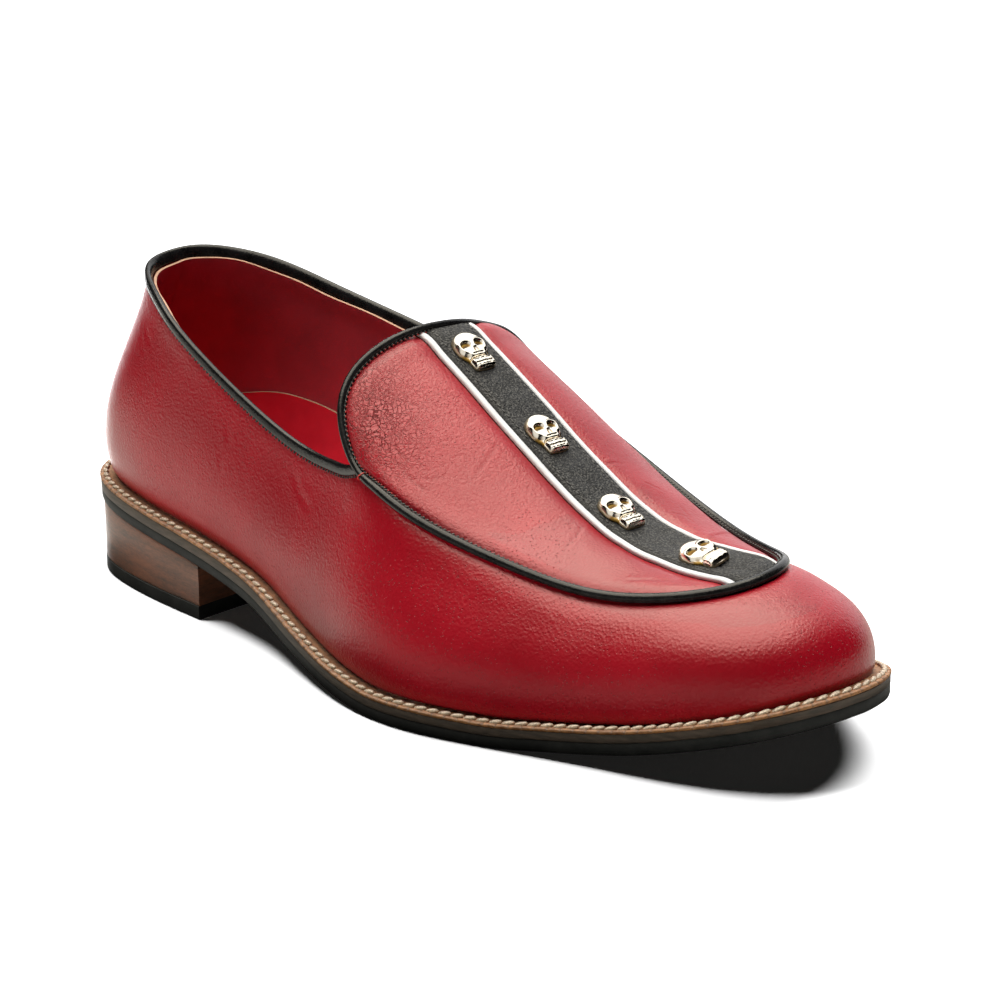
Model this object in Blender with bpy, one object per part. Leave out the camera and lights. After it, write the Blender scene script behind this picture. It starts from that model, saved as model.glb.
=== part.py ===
"""One right loafer, men's, built piece by piece as a shoemaker would put it together.

The shapes are worked out in millimetres in the last's own frame: X runs from the back of
the heel (0) to the tip of the toe (LENGTH), +Y is the inner (medial) side of the foot, and
Z is up from the ground.  make_object() turns them into metres and moves them so that the
origin is under the middle of the shoe.
"""
import bpy
import bmesh
import math
import numpy as np
from mathutils import Vector
from mathutils.bvhtree import BVHTree

for old in list(bpy.data.objects):
    bpy.data.objects.remove(old, do_unlink=True)

# ---------------------------------------------------------------- driving dimensions (mm)
MM = 0.001
LENGTH = 300.0               # outsole, heel back to toe tip
MIDDLE = (150.0, -3.4)       # point of the last's frame that becomes the origin
GAP = 0.3                    # clearance between pieces that touch on the real shoe
LAID_GAP = 0.55              # the same for strips laid over the upper's facets

WALL = 2.0                   # leather and lining together
FEATHER_INSET = 4.4          # the upper meets the welt this far inside its edge
WELT_WIDTH = 6.7
WELT_THICK = 1.6
MIDSOLE_THICK = 1.6
EDGE_HEEL, EDGE_BALL = 7.67, 7.06    # whole sole edge, at the heel and at the ball
BOTTOM_INSET = 0.8           # the outsole's lower edge is drawn in by this much

LIFT_THICK = 4.4
HEEL_INSET_TOP, HEEL_INSET_LIFT = 0.7, 0.5
HEEL_BREAST_TOP, HEEL_BREAST_LIFT = 75.0, 74.5
BREAST_HOLLOW = 2.0

INSOLE_INSET = 7.2
INSOLE_RISE = 2.4            # top of the sock above the welt

AXIS_Y = 1.5                 # the apron's middle line
THROAT_X = 141.9             # edge of the apron at the throat
SPINE_END = 253.0            # the apron's ribs fan out from here round the toe end
THROAT_BOW = -21.5           # how far the throat edge swings back on each side
BINDING_DEPTH = 3.4          # how much of the collar's height is binding
CORNER_STEP = 0.012          # the binding stops this far before the corner, in turns of t
THROAT_PIPING = 0.018        # the throat's piping lies this share of the apron's length in

BINDING_SIZE = (3.3, 2.8)    # width and height of the D-shaped section
PIPING_SIZE = (2.9, 2.2)
STRIP_HALF, STRIP_THICK = 8.2, 1.0
STRIP_Y, STRIP_END = 3.8, 262.0
EDGE_PIPING_SIZE = (1.9, 1.5)

STUD_X, STUD_Y = (155.8, 184.6, 213.3, 245.0), 2.6
STUD_LENGTH, STUD_WIDTH, STUD_HEIGHT = 14.0, 10.2, 2.8

REAR_COLUMNS = 39
FRONT_HALF = 19
WALL_ROWS = 9
PLUG_ROWS = 7


def table(names, *rows):
    """A short table: its columns by name."""
    return dict(zip(names.split(), np.array(rows, float).T))


# The sole's outline and the top of the wall above it, station by station.  Up to the
# fifth row the top is the collar, from the sixth on it is the apron's seam.
LAST = table(
    "sole  lateral medial  lat_x   lat_y   lat_z  med_x  med_y  med_z",
    (0,     0.0,   0.0,    23.3,    2.0,   98.7,  23.3,   2.0,  98.7),
    (8,   -18.6,  18.5,    26.7,  -10.0,   97.0,  26.5,  12.5,  98.8),
    (30,  -29.0,  29.5,    43.2,  -20.5,   92.5,  38.8,  24.0,  95.9),
    (66,  -34.5,  33.0,    69.5,  -28.5,   82.6,  65.8,  32.0,  88.4),
    (105, -39.6,  30.0,   116.2,  -31.5,   63.9, 112.0,  34.5,  79.6),
    (145, -50.9,  35.0,   153.5,  -39.3,   62.5, 147.6,  41.2,  67.8),
    (185, -56.9,  45.0,   180.5,  -41.5,   54.5, 178.5,  41.9,  56.1),
    (215, -50.3,  50.0,   208.0,  -34.5,   46.0, 208.0,  36.9,  47.9),
    (245, -41.8,  48.1,   234.0,  -26.8,   41.5, 235.8,  29.3,  44.0),
    (270, -35.2,  39.6,   252.8,  -20.1,   43.0, 254.1,  21.4,  45.2),
    (290, -23.5,  26.2,   263.5,  -11.7,   45.0, 264.3,  12.5,  47.1),
    (300,   4.8,   4.8,   268.0,    1.9,   46.9, 268.0,   1.9,  46.9))
TOE_ROW, CORNER_ROW = 11, 5

# Underside of the outsole: heel seat, arch, a flat at the ball, toe spring.
UNDERSIDE = table("x z", (0, 23.6), (35, 20.7), (68, 17.7), (100, 12.9), (130, 5.7),
                  (158, 1.4), (178, 0.0), (212, 0.0), (232, 1.8), (250, 4.3),
                  (280, 11.3), (300, 16.8))

# Rib profile of the wall, feather line to seam: lean out at the feather, slope at the
# seam, and how far each end holds its direction.
WALL_LATERAL = table("x lean slope low high",
                     (0, 19.2, 84.6, .35, .27), (30, 21.6, 86, .38, .27), (70, 16, 89, .39, .30),
                     (110, 15, 86, .38, .31), (150, 16, 79, .38, .32), (185, 17, 69, .38, .34),
                     (215, 17, 57, .38, .36), (245, 15, 43, .39, .39), (270, 11, 29, .42, .43),
                     (300, 6, 13, .46, .48))
WALL_MEDIAL = table("x lean slope low high",
                    (0, 19, 82, .40, .27), (30, 16, 89, .40, .29), (70, 15, 89, .39, .30),
                    (110, 15, 86, .38, .31), (150, 16, 79, .38, .32), (185, 17, 69, .38, .34),
                    (215, 17, 57, .38, .36), (245, 15, 45, .39, .39), (270, 10, 33, .40, .42),
                    (300, 6, 13, .46, .48))

# Rib profile of the apron, seam to middle line: slope at the seam and the two holds.
APRON_LATERAL = table("x slope low high",
                      (142, 90.3, .42, .68), (155, 86.4, .43, .62), (170, 72, .37, .58),
                      (190, 54, .35, .50), (210, 41, .34, .45), (235, 28, .34, .40),
                      (255, 17, .34, .36), (268, 6, .34, .34))
APRON_MEDIAL = table("x slope low high",
                     (142, 97.2, .37, .63), (155, 87.3, .37, .62), (170, 74.7, .39, .60),
                     (190, 63.6, .39, .57), (210, 46.4, .37, .53), (235, 27.6, .35, .49),
                     (255, 15.9, .34, .43), (268, 5, .34, .34))

# Middle line of the apron: its height, and how much the crown tips up to the medial side.
RIDGE = table("x z tilt", (134, 99.2, 0), (143, 94.5, 0), (154, 88.4, 0), (164.5, 82.0, .01),
              (174.5, 75.6, 0), (184, 69.3, -.02), (194, 62.9, -.03), (204, 56.8, -.02),
              (214, 51.7, .02), (224, 48.3, .08), (236, 46.4, .13), (251, 45.7, .14),
              (260, 45.6, .09), (272, 45.2, 0))


# ---------------------------------------------------------------- curves through tables
def flow(x, xs, ys):
    """Smooth curve through a table that never overshoots its rows."""
    step, rise = np.diff(xs), np.diff(ys)
    slope = rise / step
    tangent = np.zeros_like(ys)
    tangent[0], tangent[-1] = slope[0], slope[-1]
    for i in range(1, len(xs) - 1):
        if slope[i - 1] * slope[i] > 0:
            a, b = 2 * step[i] + step[i - 1], step[i] + 2 * step[i - 1]
            tangent[i] = (a + b) / (a / slope[i - 1] + b / slope[i])
    x = np.clip(np.asarray(x, float), xs[0], xs[-1])
    i = np.clip(np.searchsorted(xs, x, side="right") - 1, 0, len(xs) - 2)
    u = (x - xs[i]) / step[i]
    return (ys[i] + rise[i] * u * u * (3 - 2 * u)
            + step[i] * u * (1 - u) * ((1 - u) * tangent[i] - u * tangent[i + 1]))


def column(rows, name, x):
    return flow(x, rows["x"], rows[name])


class Loop:
    """Closed cubic spline through points at given values of its parameter."""

    def __init__(self, points, knots):
        count = len(points)
        self.knots = knots
        self.points = np.vstack([points, points[:1]])
        h = np.diff(knots)
        system, right = np.zeros((count, count)), np.zeros_like(points)
        for i in range(count):
            before, after, nxt = h[i - 1], h[i], (i + 1) % count
            system[i, i - 1] += 1 / before
            system[i, i] += 2 / before + 2 / after
            system[i, nxt] += 1 / after
            right[i] = 3 * ((points[i] - points[i - 1]) / before ** 2
                            + (points[nxt] - points[i]) / after ** 2)
        tangents = np.linalg.solve(system, right)
        self.tangents = np.vstack([tangents, tangents[:1]])

    def segment(self, t):
        t = np.asarray(t, float) % 1.0
        i = np.clip(np.searchsorted(self.knots, t, side="right") - 1, 0, len(self.knots) - 2)
        h = (self.knots[i + 1] - self.knots[i])[..., None]
        u = (t - self.knots[i])[..., None] / h
        return h, u, self.points[i], self.points[i + 1], self.tangents[i], self.tangents[i + 1]

    def at(self, t):
        h, u, p, q, m, n = self.segment(t)
        return p + (q - p) * u * u * (3 - 2 * u) + h * u * (1 - u) * ((1 - u) * m - u * n)

    def direction(self, t):
        h, u, p, q, m, n = self.segment(t)
        return (q - p) / h * 6 * u * (1 - u) + m * (1 - u) * (1 - 3 * u) + n * u * (3 * u - 2)


def around(lateral, medial):
    """Rows of the table in walking order: lateral side to the toe, medial side back."""
    near = np.stack([LAST[name] for name in lateral], axis=1)
    far = np.stack([LAST[name] for name in medial], axis=1)
    return np.vstack([near, far[-2:0:-1]])


def chord_knots(points):
    closed = np.vstack([points, points[:1]])
    along = np.r_[0.0, np.cumsum(np.linalg.norm(np.diff(closed, axis=0), axis=1))]
    return along / along[-1]


SOLE_POINTS = around(("sole", "lateral"), ("sole", "medial"))
KNOTS = chord_knots(SOLE_POINTS)
SOLE_LOOP = Loop(SOLE_POINTS, KNOTS)
SEAM_LOOP = Loop(around(("lat_x", "lat_y", "lat_z"), ("med_x", "med_y", "med_z")), KNOTS)
T_CORNER = KNOTS[CORNER_ROW]
T_TOE = KNOTS[TOE_ROW]
T_FAR_CORNER = KNOTS[2 * TOE_ROW - CORNER_ROW]


# ---------------------------------------------------------------- the last
def outward(t):
    d = SOLE_LOOP.direction(t)
    n = np.stack([d[..., 1], -d[..., 0]], axis=-1)
    return n / np.linalg.norm(n, axis=-1, keepdims=True)


def outline(t, inset=0.0):
    """Plan of the sole's edge, drawn in by inset."""
    return SOLE_LOOP.at(t) - outward(t) * inset


def underside(x):
    return flow(x, UNDERSIDE["x"], UNDERSIDE["z"])


def sole_top(x):
    share = np.clip((np.asarray(x) - 60.0) / 120.0, 0, 1)
    return underside(x) + EDGE_HEEL + (EDGE_BALL - EDGE_HEEL) * share


def on_side(t, lateral, medial, name, x):
    """A column of the lateral table before the toe, of the medial table after it."""
    return np.where(t <= T_TOE, column(lateral, name, x), column(medial, name, x))


def bezier(a, b, c, d, v):
    return (1 - v) ** 3 * a + 3 * v * (1 - v) ** 2 * b + 3 * v * v * (1 - v) * c + v ** 3 * d


def flat_and_up(plan, run, rise):
    """Vectors that go run along a plan direction and rise upwards."""
    return np.column_stack([plan * run[:, None], rise])


def wall(t, v):
    """Quarter and vamp: t goes round the shoe, v from the feather line (0) to the seam (1)."""
    t = np.asarray(t, float) % 1.0
    plan = outline(t, FEATHER_INSET)
    foot = np.column_stack([plan, sole_top(plan[:, 0]) + GAP])
    seam = SEAM_LOOP.at(t)
    x = SOLE_LOOP.at(t)[:, 0]
    lean = np.radians(on_side(t, WALL_LATERAL, WALL_MEDIAL, "lean", x))
    slope = np.radians(on_side(t, WALL_LATERAL, WALL_MEDIAL, "slope", x))
    rib = np.linalg.norm(seam - foot, axis=1)
    low = rib * on_side(t, WALL_LATERAL, WALL_MEDIAL, "low", x)
    high = rib * on_side(t, WALL_LATERAL, WALL_MEDIAL, "high", x)
    out = outward(t)
    first = foot + flat_and_up(out, low * np.sin(lean), low * np.cos(lean))
    second = seam + flat_and_up(out, high * np.cos(slope), -high * np.sin(slope))
    return bezier(*(p[:, None] for p in (foot, first, second, seam)),
                  np.asarray(v, float)[..., :, None])


def apron_share(t):
    """0 at the throat corners, 1 at the toe."""
    near = (t - T_CORNER) / (T_TOE - T_CORNER)
    far = (T_FAR_CORNER - t) / (T_FAR_CORNER - T_TOE)
    return np.clip(np.where(t <= T_TOE, near, far), 0, 1)


def apron(t, v):
    """Apron plug: t along the seam, v from the seam (0) to the middle line (1)."""
    t = np.asarray(t, float)
    seam = SEAM_LOOP.at(t)
    share = apron_share(t)
    spine_x = THROAT_X + (SPINE_END - THROAT_X) * share
    spine = np.column_stack([spine_x, np.full_like(spine_x, AXIS_Y), column(RIDGE, "z", spine_x)])
    across = spine[:, :2] - seam[:, :2]
    width = np.linalg.norm(across, axis=1)
    across = across / width[:, None]
    rib = np.linalg.norm(spine - seam, axis=1)
    slope = np.radians(on_side(t, APRON_LATERAL, APRON_MEDIAL, "slope", seam[:, 0]))
    low = rib * on_side(t, APRON_LATERAL, APRON_MEDIAL, "low", seam[:, 0])
    high = width * on_side(t, APRON_LATERAL, APRON_MEDIAL, "high", seam[:, 0])
    fall = column(RIDGE, "z", spine_x + 0.5) - column(RIDGE, "z", spine_x - 0.5)
    ease = (1 - share) ** 2
    run = across[:, 0] * (1 - ease)      # the ribs meet the middle line squarely at the throat
    crown = run * fall + across[:, 1] * column(RIDGE, "tilt", spine_x)
    first = seam + flat_and_up(across, low * np.cos(slope), low * np.sin(slope))
    second = spine - np.column_stack([high * run, high * across[:, 1], high * crown])
    first[:, 0] += THROAT_BOW * ease
    return bezier(*(p[:, None] for p in (seam, first, second, spine)),
                  np.asarray(v, float)[..., :, None])


# ---------------------------------------------------------------- making objects
def material(name, colour, roughness, metallic=0.0):
    made = bpy.data.materials.new(name)
    made.use_nodes = True
    shader = made.node_tree.nodes["Principled BSDF"]
    shader.inputs["Base Color"].default_value = (*colour, 1.0)
    shader.inputs["Roughness"].default_value = roughness
    shader.inputs["Metallic"].default_value = metallic
    return made


RED_LEATHER = material("red_leather", (0.45, 0.012, 0.018), 0.40)
BLACK_LEATHER = material("black_leather", (0.012, 0.012, 0.013), 0.45)
WHITE_LEATHER = material("white_leather", (0.80, 0.78, 0.75), 0.50)
GOLD = material("gold", (0.78, 0.60, 0.36), 0.28, 1.0)
WELT_LEATHER = material("welt_leather", (0.26, 0.13, 0.07), 0.60)
MIDSOLE_BOARD = material("midsole_leather", (0.09, 0.055, 0.035), 0.60)
BLACK_RUBBER = material("black_rubber", (0.022, 0.022, 0.023), 0.65)
HEEL_LEATHER = material("heel_leather", (0.20, 0.065, 0.03), 0.45)
SOCK_LEATHER = material("sock_leather", (0.55, 0.02, 0.03), 0.50)


def make_object(name, points, faces, finish, smooth_angle=35.0):
    """One closed piece from points in the last's frame (mm)."""
    shift = np.array([MIDDLE[0], MIDDLE[1], 0.0])
    mesh = bpy.data.meshes.new(name)
    mesh.from_pydata(((np.asarray(points, float) - shift) * MM).tolist(), [], faces)
    work = bmesh.new()
    work.from_mesh(mesh)
    bmesh.ops.recalc_face_normals(work, faces=work.faces)
    work.to_mesh(mesh)
    work.free()
    mesh.shade_smooth()
    mesh.set_sharp_from_angle(angle=math.radians(smooth_angle))
    made = bpy.data.objects.new(name, mesh)
    made.data.materials.append(finish)
    bpy.context.scene.collection.objects.link(made)
    return made


def grid_faces(columns, rows, closed=False, start=0):
    """Quads of a grid whose points go column by column."""
    faces = []
    for i in range(columns if closed else columns - 1):
        here, there = start + i * rows, start + ((i + 1) % columns) * rows
        faces += [(here + j, there + j, there + j + 1, here + j + 1) for j in range(rows - 1)]
    return faces


def tangents(points, closed):
    """Central differences along a line of points."""
    if closed:
        return np.roll(points, -1, axis=0) - np.roll(points, 1, axis=0)
    return np.gradient(points, axis=0)


def swept(name, centres, up, size, finish, closed=False, rest=LAID_GAP):
    """A D-shaped bar whose flat side lies just above the line of centres."""
    forward = tangents(centres, closed)
    width, height = size
    section = [(-width / 2, rest), (width / 2, rest)]
    for k in range(6):
        angle = math.pi * (k + 0.5) / 6
        section.append((width / 2 * math.cos(angle) * 1.02, rest + height * math.sin(angle) ** 0.8))
    points = []
    for centre, ahead, rise in zip(centres, forward, up):
        ahead = ahead / np.linalg.norm(ahead)
        rise = rise - ahead * np.dot(rise, ahead)
        rise = rise / np.linalg.norm(rise)
        side = np.cross(rise, ahead)
        points += [centre + side * s + rise * h for s, h in section]
    count, rows = len(centres), len(section)
    faces = []
    for i in range(count if closed else count - 1):
        here, there = i * rows, ((i + 1) % count) * rows
        faces += [(here + j, here + (j + 1) % rows, there + (j + 1) % rows, there + j)
                  for j in range(rows)]
    if not closed:
        faces += [tuple(range(rows)), tuple(range((count - 1) * rows, count * rows))]
    return make_object(name, points, faces, finish)


# ---------------------------------------------------------------- upper
def trimmed(t, top):
    """Height parameters of one wall column whose top is cut down by the collar binding."""
    fine = wall(np.array([t]), np.linspace(0, 1, 60))[0]
    along = np.r_[0.0, np.cumsum(np.linalg.norm(np.diff(fine, axis=0), axis=1))]
    end = np.interp(along[-1] - top, along, np.linspace(0, 1, 60))
    return np.linspace(0, 1, WALL_ROWS + 1) * end


def build_upper():
    """Wall columns all round, then the apron's ribs, joined along the middle line."""
    rear = np.linspace(T_FAR_CORNER - 1.0 + CORNER_STEP, T_CORNER - CORNER_STEP, REAR_COLUMNS)
    near = np.linspace(T_CORNER, T_TOE, FRONT_HALF + 1)
    far = np.linspace(T_TOE, T_FAR_CORNER, FRONT_HALF + 1)[1:]
    front = np.r_[near, far]
    points, top = [], []
    for t in rear:
        points += list(wall(np.array([t]), trimmed(t, BINDING_DEPTH))[0])
    for t in front:
        points += list(wall(np.array([t]), np.linspace(0, 1, WALL_ROWS + 1))[0])
        top.append(len(points) - 1)
    rows = WALL_ROWS + 1
    faces = grid_faces(len(rear) + len(front), rows, closed=True)
    ribs = apron(front, np.linspace(0, 1, PLUG_ROWS + 1))
    spine = {}
    plug = []
    for i, rib in enumerate(ribs):
        line = [top[i]]
        for point in rib[1:-1]:
            points.append(point)
            line.append(len(points) - 1)
        twin = min(i, 2 * FRONT_HALF - i)
        if twin not in spine:
            points.append(rib[-1])
            spine[twin] = len(points) - 1
        line.append(spine[twin])
        plug.append(line)
    for left, right in zip(plug[:-1], plug[1:]):
        for j in range(PLUG_ROWS):
            quad = [left[j], right[j], right[j + 1], left[j + 1]]
            faces.append(tuple(dict.fromkeys(quad)))
    made = make_object("upper", points, faces, RED_LEATHER)
    thicken = made.modifiers.new("wall", "SOLIDIFY")
    thicken.thickness = WALL * MM
    thicken.offset = -1.0
    thicken.use_even_offset = False
    thicken.use_quality_normals = True
    return made


# ---------------------------------------------------------------- binding and piping
def seam_ahead(t):
    """Direction of the seam in walking order."""
    step = 0.002
    return SEAM_LOOP.at(np.array([t + step]))[0] - SEAM_LOOP.at(np.array([t - step]))[0]


def seam_up(t):
    """Direction away from the shoe on its seam."""
    low = wall(np.array([t]), [0.96])[0][0]
    high = apron(np.array([t]), [0.06])[0][0]
    up = np.cross(seam_ahead(t), high - low)
    return up / np.linalg.norm(up)


def apron_up(t, v):
    """Direction away from the shoe on its apron; close to the seam it turns to the seam's."""
    step_t, step_v = 0.003, 0.02
    ahead = apron(np.array([t + step_t]), [v])[0][0] - apron(np.array([t - step_t]), [v])[0][0]
    rise = apron(np.array([t]), [v + step_v])[0][0] - apron(np.array([t]), [v - step_v])[0][0]
    up = np.cross(ahead, rise)
    share = min(1.0, v / 0.12)
    up = share * up / np.linalg.norm(up) + (1 - share) * seam_up(t)
    return up / np.linalg.norm(up)


def wall_mid(t):
    """Middle of the wall's top rim at the collar, and the direction the wall ends in."""
    ends = trimmed(t, BINDING_DEPTH)[-1]
    below, rim = wall(np.array([t]), [ends - 0.03, ends])[0]
    rise = (rim - below) / np.linalg.norm(rim - below)
    inward = np.cross(rise, seam_ahead(t))
    inward /= np.linalg.norm(inward)
    return rim + inward * WALL / 2, rise


def build_binding():
    """Collar binding: sits on the wall's rim, corner to corner round the heel."""
    ends = CORNER_STEP + 0.001
    places = np.linspace(T_FAR_CORNER - 1.0 + ends, T_CORNER - ends, 44)
    mids, rises = zip(*(wall_mid(t) for t in places))
    return swept("collar_binding", np.array(mids), rises, BINDING_SIZE, BLACK_LEATHER, rest=GAP)


def build_piping():
    """Apron piping: one loop that lies along the seam and back across the throat's edge."""
    reach = {False: T_TOE - T_CORNER, True: T_FAR_CORNER - T_TOE}
    turn = [(0.055, 0.0), (0.038, 0.006), (0.027, 0.022), (THROAT_PIPING + 0.002, 0.050)]
    turn += [(THROAT_PIPING, v) for v in (0.10, 0.18, 0.28, 0.38, 0.50, 0.62, 0.74, 0.87)]
    seam_shares = np.linspace(0.085, 1.0, 19)

    def place(far, share, v):
        t = T_FAR_CORNER - share * reach[True] if far else T_CORNER + share * reach[False]
        if v == 0.0:
            return SEAM_LOOP.at(np.array([t]))[0], seam_up(t)
        return apron(np.array([t]), [v])[0][0], apron_up(t, min(v, 0.97))

    path = [place(False, share, 0.0) for share in seam_shares]
    path += [place(True, share, 0.0) for share in seam_shares[-2::-1]]
    path += [place(True, share, v) for share, v in turn]
    path.append(place(False, THROAT_PIPING, 1.0))
    path += [place(False, share, v) for share, v in turn[::-1]]
    centres = np.array([centre for centre, _ in path])
    return swept("apron_piping", centres, [up for _, up in path], PIPING_SIZE,
                 BLACK_LEATHER, closed=True)


# ---------------------------------------------------------------- strip and studs
def cover_of(made):
    """The outside of a piece, for finding heights on it, in the last's frame."""
    shift = Vector((MIDDLE[0], MIDDLE[1], 0.0))
    points = [vertex.co / MM + shift for vertex in made.data.vertices]
    return BVHTree.FromPolygons(points, [face.vertices[:] for face in made.data.polygons])


def drop_on(cover, x, y):
    """Height of the cover and its upward normal at a plan point."""
    hit, normal, _, _ = cover.ray_cast(Vector((x, y, 200.0)), Vector((0, 0, -1)))
    if normal.z < 0:
        normal = -normal
    return np.array(hit), np.array(normal)


def build_strip(cover):
    """Centre strip with a white piping along each edge, laid on the apron."""
    xs = np.linspace(THROAT_X + 5.0, STRIP_END, 27)
    ys = STRIP_Y + np.linspace(-STRIP_HALF, STRIP_HALF, 5)
    lower, upper = [], []
    for x in xs:
        for y in ys:
            point, normal = drop_on(cover, x, y)
            lower.append(point + normal * LAID_GAP)
            upper.append(point + normal * (LAID_GAP + STRIP_THICK))
    rows = len(ys)
    count = len(lower)
    faces = grid_faces(len(xs), rows) + grid_faces(len(xs), rows, start=count)
    rim = ([i * rows for i in range(len(xs))]
           + [(len(xs) - 1) * rows + j for j in range(1, rows)]
           + [i * rows + rows - 1 for i in range(len(xs) - 2, -1, -1)]
           + [j for j in range(rows - 2, 0, -1)])
    faces += [(a, b, b + count, a + count) for a, b in zip(rim, rim[1:] + rim[:1])]
    make_object("centre_strip", lower + upper, faces, BLACK_LEATHER)
    offset = STRIP_HALF + EDGE_PIPING_SIZE[0] / 2 + GAP
    for side, name, short in ((-1, "strip_piping_lateral", 0.0), (1, "strip_piping_medial", 3.5)):
        run = np.linspace(xs[0], xs[-1] - short, len(xs))
        centres, ups = zip(*(drop_on(cover, x, STRIP_Y + side * offset) for x in run))
        swept(name, np.array(centres), ups, EDGE_PIPING_SIZE, WHITE_LEATHER)


# Half of the stud's plan, crown to chin, as shares of its length and width.
SKULL_PLAN = table("x y", (-.50, .0), (-.47, .17), (-.40, .31), (-.28, .43), (-.12, .50), (.04, .49),
                   (.15, .41), (.23, .33), (.33, .30), (.44, .28), (.49, .20), (.50, .0))


def skull_ring():
    """Plan of the stud all round, as pairs of shares."""
    half = list(zip(SKULL_PLAN["x"], SKULL_PLAN["y"]))
    return half + [(x, -y) for x, y in half[-2:0:-1]]


def skull_height(x, y, share):
    """Height of the stud inside its plan; share is 0 at its middle and 1 at its edge."""
    dome = math.sqrt(max(0.0, 1 - share ** 2.8))
    face = 1 - 0.30 / (1 + math.exp(-16 * (x - 0.20)))
    eyes = sum(0.36 * math.exp(-((x - 0.09) ** 2 + (y - s * 0.20) ** 2) / 0.010) for s in (-1, 1))
    nose = 0.22 * math.exp(-((x - 0.23) ** 2 + y * y) / 0.0035)
    return 0.18 + 0.82 * dome * face * (1 - eyes - nose)


def build_stud(name, cover, x):
    """Cast stud: a small generic skull, brow to the throat and jaw to the toe."""
    point, normal = drop_on(cover, x, STUD_Y)
    ahead = drop_on(cover, x + 4.0, STUD_Y)[0] - drop_on(cover, x - 4.0, STUD_Y)[0]
    ahead /= np.linalg.norm(ahead)
    normal = normal - ahead * np.dot(normal, ahead)
    normal /= np.linalg.norm(normal)
    side = np.cross(normal, ahead)
    under = [drop_on(cover, point[0] + 0.5 * STUD_LENGTH * dx, STUD_Y + 0.5 * STUD_WIDTH * dy)[0]
             for dx in (-1, -0.5, 0, 0.5, 1) for dy in (-0.7, 0, 0.7)]
    crest = max(float(np.dot(spot - point, normal)) for spot in under)
    base = point + normal * (crest + LAID_GAP + STRIP_THICK + GAP)
    ring, rings = skull_ring(), (0.34, 0.58, 0.78, 0.92, 1.0)
    spokes = len(ring)
    points = [base + normal * STUD_HEIGHT * skull_height(0, 0, 0)]
    for share in rings:
        for plan_x, plan_y in ring:
            tall = STUD_HEIGHT * skull_height(plan_x * share, plan_y * share, share)
            points.append(base + ahead * plan_x * share * STUD_LENGTH
                          + side * plan_y * share * STUD_WIDTH + normal * tall)
    points += [base + ahead * plan_x * STUD_LENGTH + side * plan_y * STUD_WIDTH
               for plan_x, plan_y in ring]
    faces = [(0, 1 + k, 1 + (k + 1) % spokes) for k in range(spokes)]
    for level in range(len(rings)):
        here, there = 1 + level * spokes, 1 + (level + 1) * spokes
        faces += [(here + k, there + k, there + (k + 1) % spokes, here + (k + 1) % spokes)
                  for k in range(spokes)]
    last = 1 + len(rings) * spokes
    faces.append(tuple(range(last, last + spokes)))
    return make_object(name, points, faces, GOLD)


# ---------------------------------------------------------------- bottom of the shoe
def matched_stations(inset, xs):
    """Points of the inset outline at the same x on both sides: lateral row, medial row."""
    lateral_t, medial_t = np.linspace(0, T_TOE, 600), np.linspace(1, T_TOE, 600)
    rows = []
    for t in (lateral_t, medial_t):
        plan = outline(t, inset)
        order = np.argsort(plan[:, 0])
        rows.append(np.interp(xs, plan[order, 0], plan[order, 1]))
    return rows


def stations(inset, first=None, last=None, count=44):
    """X positions from heel to toe, closer together at the two round ends."""
    low = outline(np.array([0.0]), inset)[0, 0] if first is None else first
    high = outline(np.array([T_TOE]), inset)[0, 0] if last is None else last
    share = (1 - np.cos(np.linspace(0, math.pi, count))) / 2
    share = 0.55 * share + 0.45 * np.linspace(0, 1, count)
    return low + (high - low) * share


def plate(name, layers, finish, first=None, last=None, hollow=0.0):
    """A plate from stacked outlines; each layer is (inset, function from x to height)."""
    points, levels = [], []
    for inset, height in layers:
        xs = stations(inset, first, last)
        near, far = matched_stations(inset, xs)
        middle = (near + far) / 2
        if last is None:
            near[-1] = far[-1] = middle[-1]
        if first is None:
            near[0] = far[0] = middle[0]
        ring = [(x, y) for x, y in zip(xs, near)] + [(x, y) for x, y in zip(xs[::-1], far[::-1])]
        ring = [p for i, p in enumerate(ring) if p != ring[i - 1]]
        level = []
        for x, y in ring:
            if last is not None and x > last - 0.01:
                x = x - hollow * (1 - ((y - middle[-1]) / (far[-1] - middle[-1])) ** 2)
            points.append((x, y, float(height(x))))
            level.append(len(points) - 1)
        levels.append((level, len(xs)))
    faces = []
    for (low, _), (high, _) in zip(levels[:-1], levels[1:]):
        size = len(low)
        faces += [(low[i], low[(i + 1) % size], high[(i + 1) % size], high[i]) for i in range(size)]
    for level, count in (levels[0], levels[-1]):
        faces += ladder(level, count, first is None, last is None)
    return make_object(name, points, faces, finish)


def ladder(ring, count, pointed_start, pointed_end):
    """Faces across a ring, rung by rung, so that a curved plate stays curved."""
    near = ring[:count]
    far = ring[count:] if not pointed_end else [ring[count - 1]] + ring[count:]
    far = far[::-1]
    if pointed_start:
        far = [ring[0]] + far
    faces = []
    for i in range(count - 1):
        face = (near[i], near[i + 1], far[i + 1], far[i])
        faces.append(tuple(dict.fromkeys(face)))
    return faces


def build_welt():
    """Welt: a flat ring under the edge of the upper."""
    count = 80
    t = np.arange(count) / count
    points = []
    for inset, drop in ((0.0, WELT_THICK), (0.0, 0.35), (0.35, 0.0), (WELT_WIDTH, 0.0),
                        (WELT_WIDTH, WELT_THICK)):
        plan = outline(t, inset)
        points.append(np.column_stack([plan, sole_top(plan[:, 0]) - drop]))
    rows = len(points)
    points = np.stack(points, axis=1).reshape(-1, 3)
    faces = []
    for i in range(count):
        here, there = i * rows, ((i + 1) % count) * rows
        faces += [(here + j, here + (j + 1) % rows, there + (j + 1) % rows, there + j)
                  for j in range(rows)]
    return make_object("welt", points, faces, WELT_LEATHER)


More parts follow.
